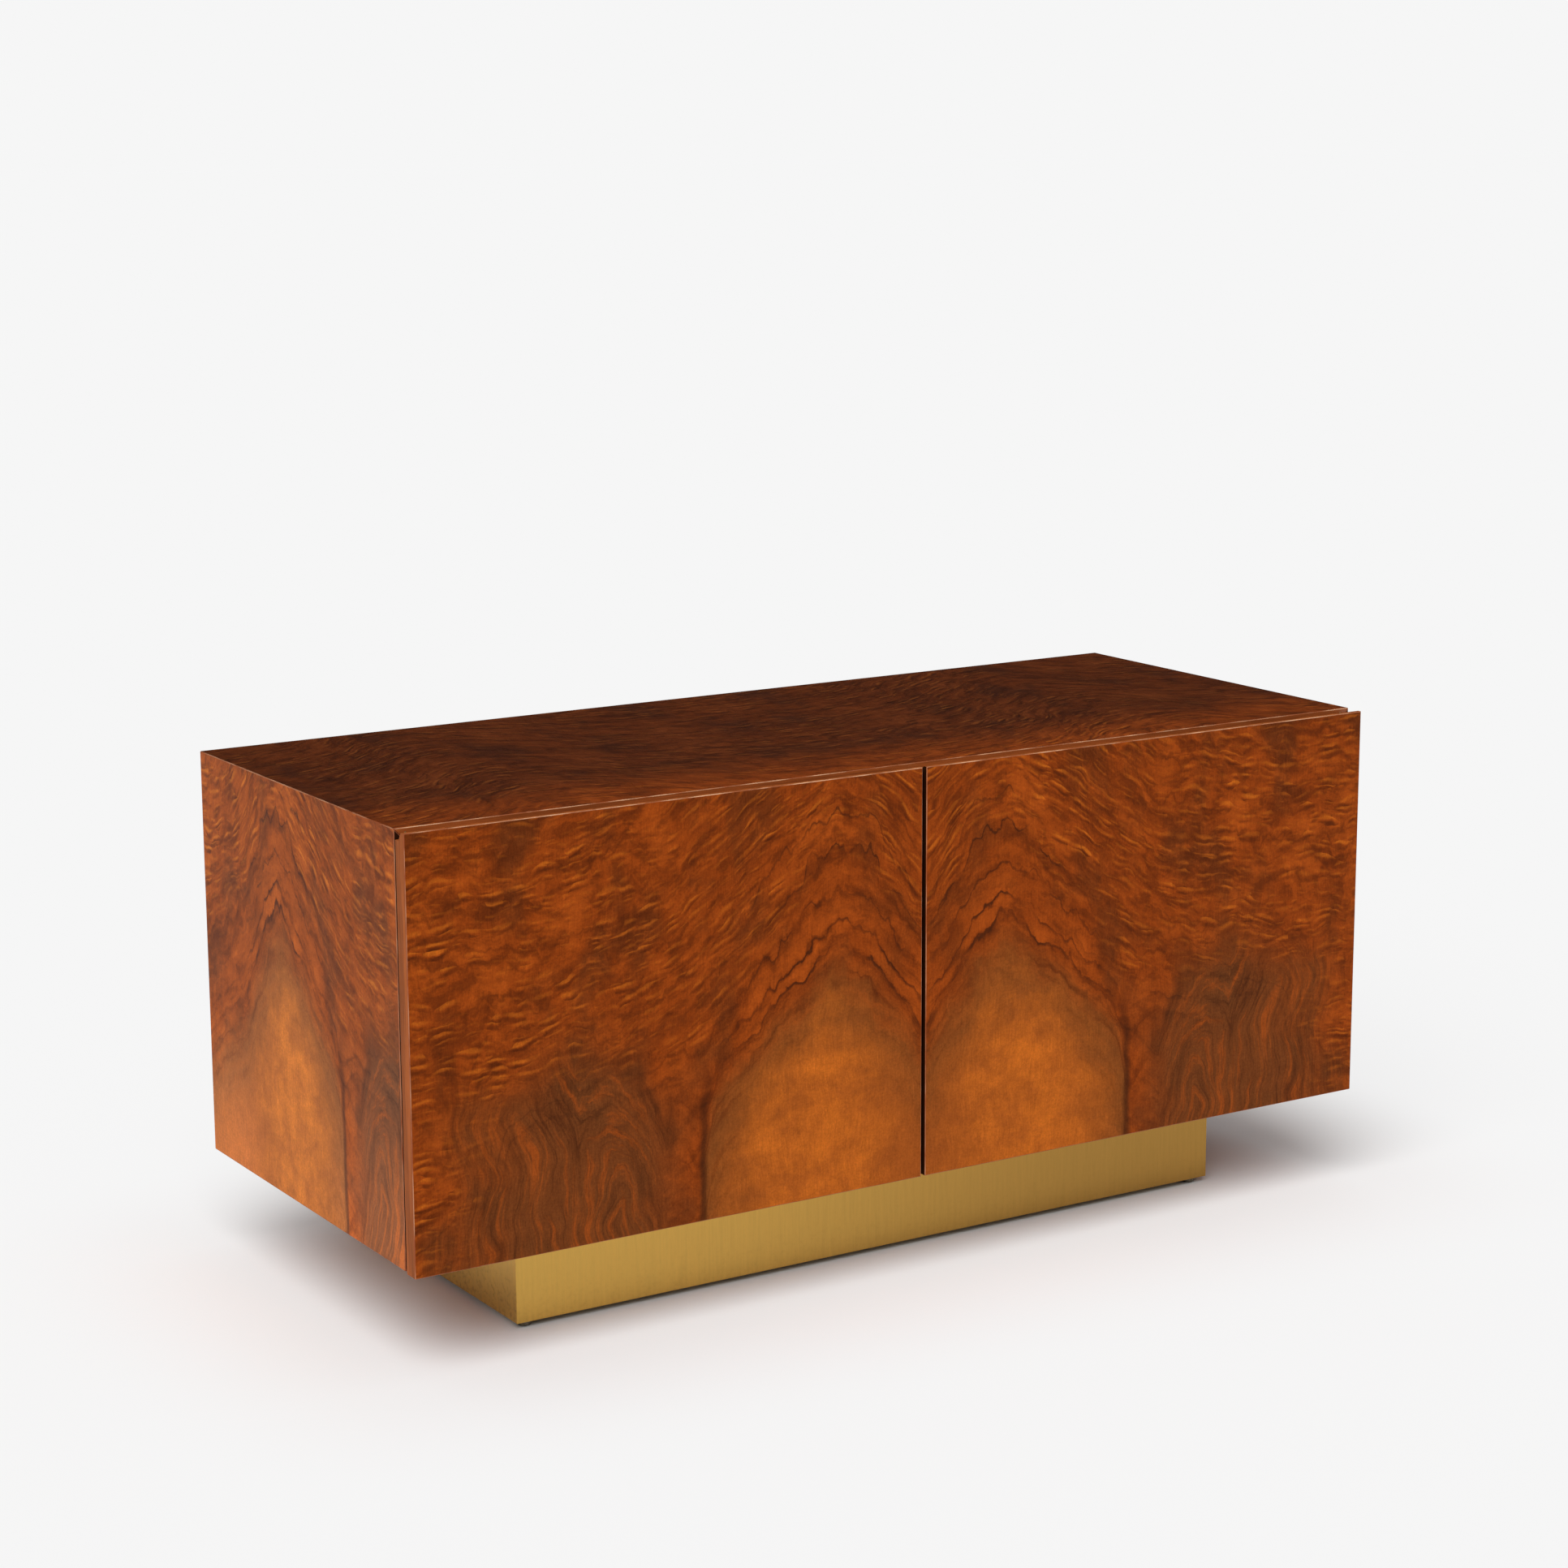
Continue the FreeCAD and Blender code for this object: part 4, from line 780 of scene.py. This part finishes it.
class CABINET_OT_splines(bpy.types.Operator):
    """Fill the open ends of the spline grooves beside the back panel"""
    bl_idname = "cabinet.splines"
    bl_label = "Spline Ends"

    def execute(self, context):
        low, high = CAD_BOX[0].copy(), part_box("top_board")[1]
        low.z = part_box("bottom_board")[0].z
        board = high.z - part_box("top_board")[0].z
        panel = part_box("back_panel")
        far, near = (SPLINE_WIDTH + SPLINE_THICK) / 8 ** 0.5, (SPLINE_WIDTH - SPLINE_THICK) / 8 ** 0.5
        inner = SPLINE_THICK / 2 ** 0.5
        tip = high.y - SPLINE_BACK
        shape = bmesh.new()
        for outer_x, panel_x, right in ((low.x, panel[0].x, -1), (high.x, panel[1].x, 1)):
            for outer_z, panel_z, upper in ((low.z, panel[0].z, -1), (high.z, panel[1].z, 1)):
                # Places in the corner, measured outward from the middle of the mitre, clear of the panel.
                middle_x, middle_z = outer_x - right * board / 2, outer_z - upper * board / 2
                clear_x = right * (panel_x - middle_x) + SPLINE_GAP
                clear_z = upper * (panel_z - middle_z) + SPLINE_GAP
                outline = ((far, -near), (near, -far), (clear_x, -inner - clear_x), (clear_x, clear_z),
                           (-inner - clear_z, clear_z), (-far, near), (-near, far))
                loops = [[shape.verts.new((middle_x + right * x * trim, y, middle_z + upper * z * trim))
                          for x, z in outline]
                         for y, trim in ((panel[0].y, 1.0), (tip - SPLINE_TAPER, 1.0), (tip, SPLINE_TIP))]
                for front, back in zip(loops, loops[1:]):
                    for k in range(len(outline)):
                        shape.faces.new((front[k - 1], front[k], back[k], back[k - 1]))
                shape.faces.new(loops[0])
                shape.faces.new(loops[-1])
        bmesh.ops.recalc_face_normals(shape, faces=shape.faces)
        piece = as_object(shape, "mitre_spline_ends", bpy.data.materials["poplar_planed"])
        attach(piece, "case")
        return {"FINISHED"}


class CABINET_OT_fittings(bpy.types.Operator):
    """Dress the hinges, pegs, catches, bumpers and glides"""
    bl_idname = "cabinet.fittings"
    bl_label = "Fittings"

    def execute(self, context):
        metal = context.scene.cabinet_metal
        # Pressed steel with satin nickel plating: soft grey with blurred reflections.
        material = two_toned("nickel_plated_steel_pressed", metal.nickel * 0.94, metal.nickel * 1.06,
                             spacing=2, detail=4, sheen=(0.38, 0.5), Metallic=1.0)
        pressed = ["catch_poles", "left_shelf_pegs", "right_shelf_pegs"]
        for side in SIDES:
            pressed += [f"{side}_{piece}" for piece in (
                "hinge_cups", "hinge_cup_pins", "hinge_outer_links", "hinge_inner_links", "hinge_arms",
                "hinge_arm_pins", "hinge_plates", "strike_plate")]
        dress(pressed, material)
        # Pressed steel glides, long bare of plating, rubbed on floors: dark brownish grey with bright spots.
        material = two_toned("steel_glide_pressed_tarnished", linear("#4A4232"), linear("#8A8170"), spacing=3,
                             detail=5, noise_roughness=0.7, span=(0.35, 0.65), Metallic=1.0, Roughness=0.42)
        dress(["glide_caps"], material)
        # Moulded brown ABS: even colour with a fine eggshell mottle.
        material = two_toned("brown_abs_moulded", metal.catch * 0.92, metal.catch * 1.08, spacing=2 / 3,
                             detail=2, Roughness=0.5)
        dress(["catch_housings"], material)
        # Pressed ferrite: charcoal grey and slightly grainy.
        material = two_toned("ferrite_pressed", linear("#2A2A2B"), linear("#3E3E40"), spacing=0.5, detail=3,
                             Roughness=0.6)
        dress(["catch_magnets"], material)
        # Cast polyurethane bumpers: cloudy and soft.
        material = two_toned("polyurethane_bumper_cast", linear("#B9B3A4"), linear("#CFCABD"), spacing=1.25,
                             detail=2, Roughness=0.35)
        dress(["left_door_bumpers", "right_door_bumpers"], material)
        return {"FINISHED"}


# Rings of a screw from its tip to the rim of the recess: share of the shank's or head's radius, and share of
# its length.
SHANK_RINGS = ((0.15, -1.0), (0.7, -0.8), (0.78, -0.1), (0.98, -0.08))
HEAD_RINGS = ((1.0, 0.0), (1.0, 0.3), (0.96, 0.55), (0.86, 0.8), (0.7, 0.95), (0.6, 1.0))
# One quarter of the cross recess, as shares of the head's radius, and its rings from the rim to the floor.
CROSS_QUARTER = ((0.5, 0.0), (0.5, 0.11), (0.32, 0.12), (0.15, 0.15), (0.12, 0.32), (0.11, 0.5))
CROSS_RINGS = ((1, 1), (0.85, 0.45))
# Points of a screw's mesh within this distance in metres are on one plane.
SAME_PLANE = 0.00001


def screw_places(mesh):
    """Seat, direction, head radius, head height, shank radius and shank length of each screw in a CAD node's
    mesh."""
    shape = bmesh.new()
    shape.from_mesh(mesh)
    bmesh.ops.remove_doubles(shape, verts=shape.verts, dist=WELD_REACH)
    left = set(shape.verts)
    for start in shape.verts:
        if start not in left:
            continue
        left.remove(start)
        joined = [start]
        for vert in joined:
            near = left.intersection(edge.other_vert(vert) for edge in vert.link_edges)
            left -= near
            joined += near
        whole = [vert.co for vert in joined]
        low = Vector([min(p[k] for p in whole) for k in range(3)])
        high = Vector([max(p[k] for p in whole) for k in range(3)])
        axis = max(range(3), key=lambda k: high[k] - low[k])
        middle = (low + high) / 2

        def off(point):
            """Distance of a point from the screw's axis."""
            return math.hypot(*(point[k] - middle[k] for k in range(3) if k != axis))

        radius = max(map(off, whole))
        head = [p[axis] for p in whole if off(p) > 0.95 * radius]
        bottom, top = min(head), max(head)
        up = 1 if top > high[axis] - SAME_PLANE else -1
        seat = middle.copy()
        seat[axis] = bottom if up > 0 else top
        outward = Vector([up if k == axis else 0 for k in range(3)])
        tip = (low if up > 0 else high)[axis]
        shank = max(off(p) for p in whole if abs(p[axis] - tip) < SAME_PLANE)
        yield seat, outward, radius, top - bottom, shank, high[axis] - low[axis] - (top - bottom)
    shape.free()


def screw(shape, seat, outward, radius, height, shank, length):
    """Add a pan-head screw with a tapered shank and a cross recess pressed into its head."""
    count = 4 * len(CROSS_QUARTER)
    turn = outward.to_track_quat("Z", "Y").to_matrix()
    ring = [(math.cos(math.tau * k / count), math.sin(math.tau * k / count)) for k in range(count)]
    cross = []
    for quarter in range(4):
        for x, y in CROSS_QUARTER:
            for _ in range(quarter):
                x, y = -y, x
            cross.append((x, y))
    spans = ((ring, shank, length, SHANK_RINGS), (ring, radius, height, HEAD_RINGS),
             (cross, radius, height, CROSS_RINGS))
    rows = [[(x * wide * r, y * wide * r, tall * z) for x, y in outline]
            for outline, wide, tall, rings in spans for r, z in rings]
    loops = [[shape.verts.new(seat + turn @ Vector(point)) for point in row] for row in rows]
    for below, above in zip(loops, loops[1:]):
        for k in range(count):
            shape.faces.new((below[k - 1], below[k], above[k], above[k - 1])).smooth = True
    shape.faces.new(reversed(loops[0]))
    shape.faces.new(loops[-1])
    for loop in (loops[len(SHANK_RINGS)], loops[-2], loops[-1]):
        for k in range(count):
            shape.edges.get((loop[k - 1], loop[k])).smooth = False


class CABINET_OT_screws(bpy.types.Operator):
    """Make cross-recessed screws in place of the plain ones"""
    bl_idname = "cabinet.screws"
    bl_label = "Screws"

    def execute(self, context):
        metal = context.scene.cabinet_metal
        # Turned steel with thin zinc plating: a little brighter and yellower than nickel.
        material = two_toned("zinc_plated_steel_turned", metal.zinc * 0.9, metal.zinc * 1.1, spacing=1,
                             detail=4, sheen=(0.32, 0.45), Metallic=1.0)
        dress(["glide_nails"], material)
        names = ["back_screws", "catch_screws", "plinth_screws"]
        for side in SIDES:
            names += [side + kind for kind in ("_hinge_cup_screws", "_hinge_plate_screws", "_strike_screw")]
        for name in names:
            shape = bmesh.new()
            for place in screw_places(NODES[name].data):
                screw(shape, *place)
            piece = as_object(shape, "cross_" + name, material)
            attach(piece, body_of(NODES[name])[0])
            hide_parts(name)
        return {"FINISHED"}


# Sizes of the stage in metres: half the width of the floor, how far round the cabinet its shadow shows, and
# the curtain's radius, height and middle.
FLOOR_HALF, SHADOW_REACH = 60, 0.3
CURTAIN_RADIUS, CURTAIN_HEIGHT, CURTAIN_MIDDLE = 6, 9, 4.9
# How white the floor stays beyond its shadow, and shares of the ambient light from level and from overhead.
FLOOR_WHITE, LEVEL_SHARE, OVERHEAD_SHARE = 0.8, 0.2, 1.8
# How the key light falls and how wide it is.
KEY_AIM, KEY_SPREAD = (0.5, 0.46, -0.73), math.radians(50)


def seen_rays(tree):
    """Rays that show the background: those of the camera, of reflections and through glass."""
    path = tree.nodes.new("ShaderNodeLightPath").outputs
    seen = add(tree, "Math MAXIMUM", path["Is Camera Ray"], path["Is Glossy Ray"])
    return add(tree, "Math MAXIMUM", seen, path["Is Transmission Ray"])


class CABINET_OT_stage(bpy.types.Operator):
    """Set the pale floor, soft light and camera"""
    bl_idname = "cabinet.stage"
    bl_label = "Stage"

    def execute(self, context):
        scene = context.scene
        stage = scene.cabinet_stage
        scene.view_settings.view_transform = "Standard"
        self.floor(stage)
        self.curtain()
        self.light(scene, stage)
        self.camera(scene, stage)
        return {"FINISHED"}

    def floor(self, stage):
        """Wide sheet of pale matt paper."""
        material, tree, shader = new_material("matt_paper", Base_Color=(*stage.paper, 1), Roughness=1.0,
                                              Specular_IOR_Level=0.0)
        # Away from the cabinet the paper stays white for the camera and for metal, so that only the near
        # shadow shows.
        put = partial(add, tree)
        across = put("VectorMath ABSOLUTE", put("TexCoord", out=3))
        beyond = put("VectorMath SUBTRACT", across, CAD_BOX[1])
        outside = put("VectorMath MAXIMUM", beyond, (0, 0, 0))
        distance = put("VectorMath LENGTH", outside, out=1)
        white = put("MapRange", distance, 0, SHADOW_REACH, 0, FLOOR_WHITE, **SOFT)
        shown = put("Math MULTIPLY", seen_rays(tree), white)
        glow = put("Emission", (*stage.paper, 1), 1)
        lit = put("MixShader", shown, shader.outputs[0], glow)
        tree.links.new(lit, tree.get_output_node("ALL").inputs[0])
        shape = bmesh.new()
        bmesh.ops.create_grid(shape, x_segments=1, y_segments=1, size=FLOOR_HALF)
        as_object(shape, "paper_floor", material)

    def curtain(self):
        """Dark curtain round the studio, which only reflections see, so that the polished top stays deep."""
        material, _, _ = new_material("black_felt", Base_Color=(*linear("#161412"), 1), Roughness=1.0,
                                      Specular_IOR_Level=0.0)
        shape = bmesh.new()
        bmesh.ops.create_cone(shape, cap_ends=False, segments=64, radius1=CURTAIN_RADIUS,
                              radius2=CURTAIN_RADIUS, depth=CURTAIN_HEIGHT,
                              matrix=Matrix.Translation((0, 0, CURTAIN_MIDDLE)))
        cloth = as_object(shape, "dark_curtain", material)
        for rays in ("camera", "diffuse", "shadow", "transmission"):
            setattr(cloth, "visible_" + rays, False)

    def light(self, scene, stage):
        """Light from all round, strongest from above, and one very soft key from the front left."""
        world = bpy.data.worlds.new("studio")
        world.use_nodes = True
        tree = world.node_tree
        tree.nodes.clear()
        put = partial(add, tree)
        height = put("SeparateXYZ", put("TexCoord"), out=2)
        overhead = put("MapRange", height, 0, 1, LEVEL_SHARE * stage.ambient, OVERHEAD_SHARE * stage.ambient)
        ambient = put("Background", (1, 1, 1, 1), overhead)
        paper = put("Background", (*stage.paper, 1), 1)
        mixed = put("MixShader", seen_rays(tree), ambient, paper)
        tree.links.new(mixed, tree.nodes.new("ShaderNodeOutputWorld").inputs[0])
        scene.world = world
        lamp = bpy.data.lights.new("soft_key", "SUN")
        lamp.energy = stage.key
        lamp.angle = KEY_SPREAD
        key = bpy.data.objects.new("soft_key", lamp)
        scene.collection.objects.link(key)
        key.rotation_euler = Vector(KEY_AIM).to_track_quat("-Z", "Y").to_euler()

    def camera(self, scene, stage):
        """Camera at the photograph's place and angle."""
        lens = bpy.data.cameras.new("camera")
        lens.lens = stage.lens
        lens.sensor_width = 36
        eye = bpy.data.objects.new("camera", lens)
        scene.collection.objects.link(eye)
        aim = Euler((math.pi / 2 - stage.tilt, 0, -stage.pan)).to_matrix()
        turn = aim @ Matrix.Rotation(stage.roll, 3, "Z")
        eye.matrix_world = Matrix.Translation(stage.eye) @ turn.to_4x4()
        scene.camera = eye


class CABINET_PT_panel(bpy.types.Panel):
    """Lists the pieces of the cabinet"""
    bl_idname = "CABINET_PT_panel"
    bl_label = "Low Cabinet"
    bl_space_type = "VIEW_3D"
    bl_region_type = "UI"
    bl_category = "Cabinet"

    def draw(self, context):
        for operator in OPERATORS:
            self.layout.operator(operator.bl_idname)


OPERATORS = (CABINET_OT_leaf, CABINET_OT_doors, CABINET_OT_case, CABINET_OT_inside, CABINET_OT_plinth,
             CABINET_OT_splines, CABINET_OT_fittings, CABINET_OT_screws, CABINET_OT_stage)
SETTINGS = {"cabinet_wood": CabinetWood, "cabinet_metal": CabinetMetal, "cabinet_stage": CabinetStage}


def register():
    for cls in (*SETTINGS.values(), *OPERATORS, CABINET_PT_panel):
        bpy.utils.register_class(cls)
    for name, group in SETTINGS.items():
        setattr(bpy.types.Scene, name, PointerProperty(type=group))


def unregister():
    for name in SETTINGS:
        delattr(bpy.types.Scene, name)
    for cls in reversed((*SETTINGS.values(), *OPERATORS, CABINET_PT_panel)):
        bpy.utils.unregister_class(cls)


def main():
    register()
    bpy.ops.cabinet.leaf()
    bpy.ops.cabinet.doors()
    bpy.ops.cabinet.case()
    bpy.ops.cabinet.inside()
    bpy.ops.cabinet.plinth()
    bpy.ops.cabinet.splines()
    bpy.ops.cabinet.fittings()
    bpy.ops.cabinet.screws()
    bpy.ops.cabinet.stage()


if __name__ == "__main__":
    main()
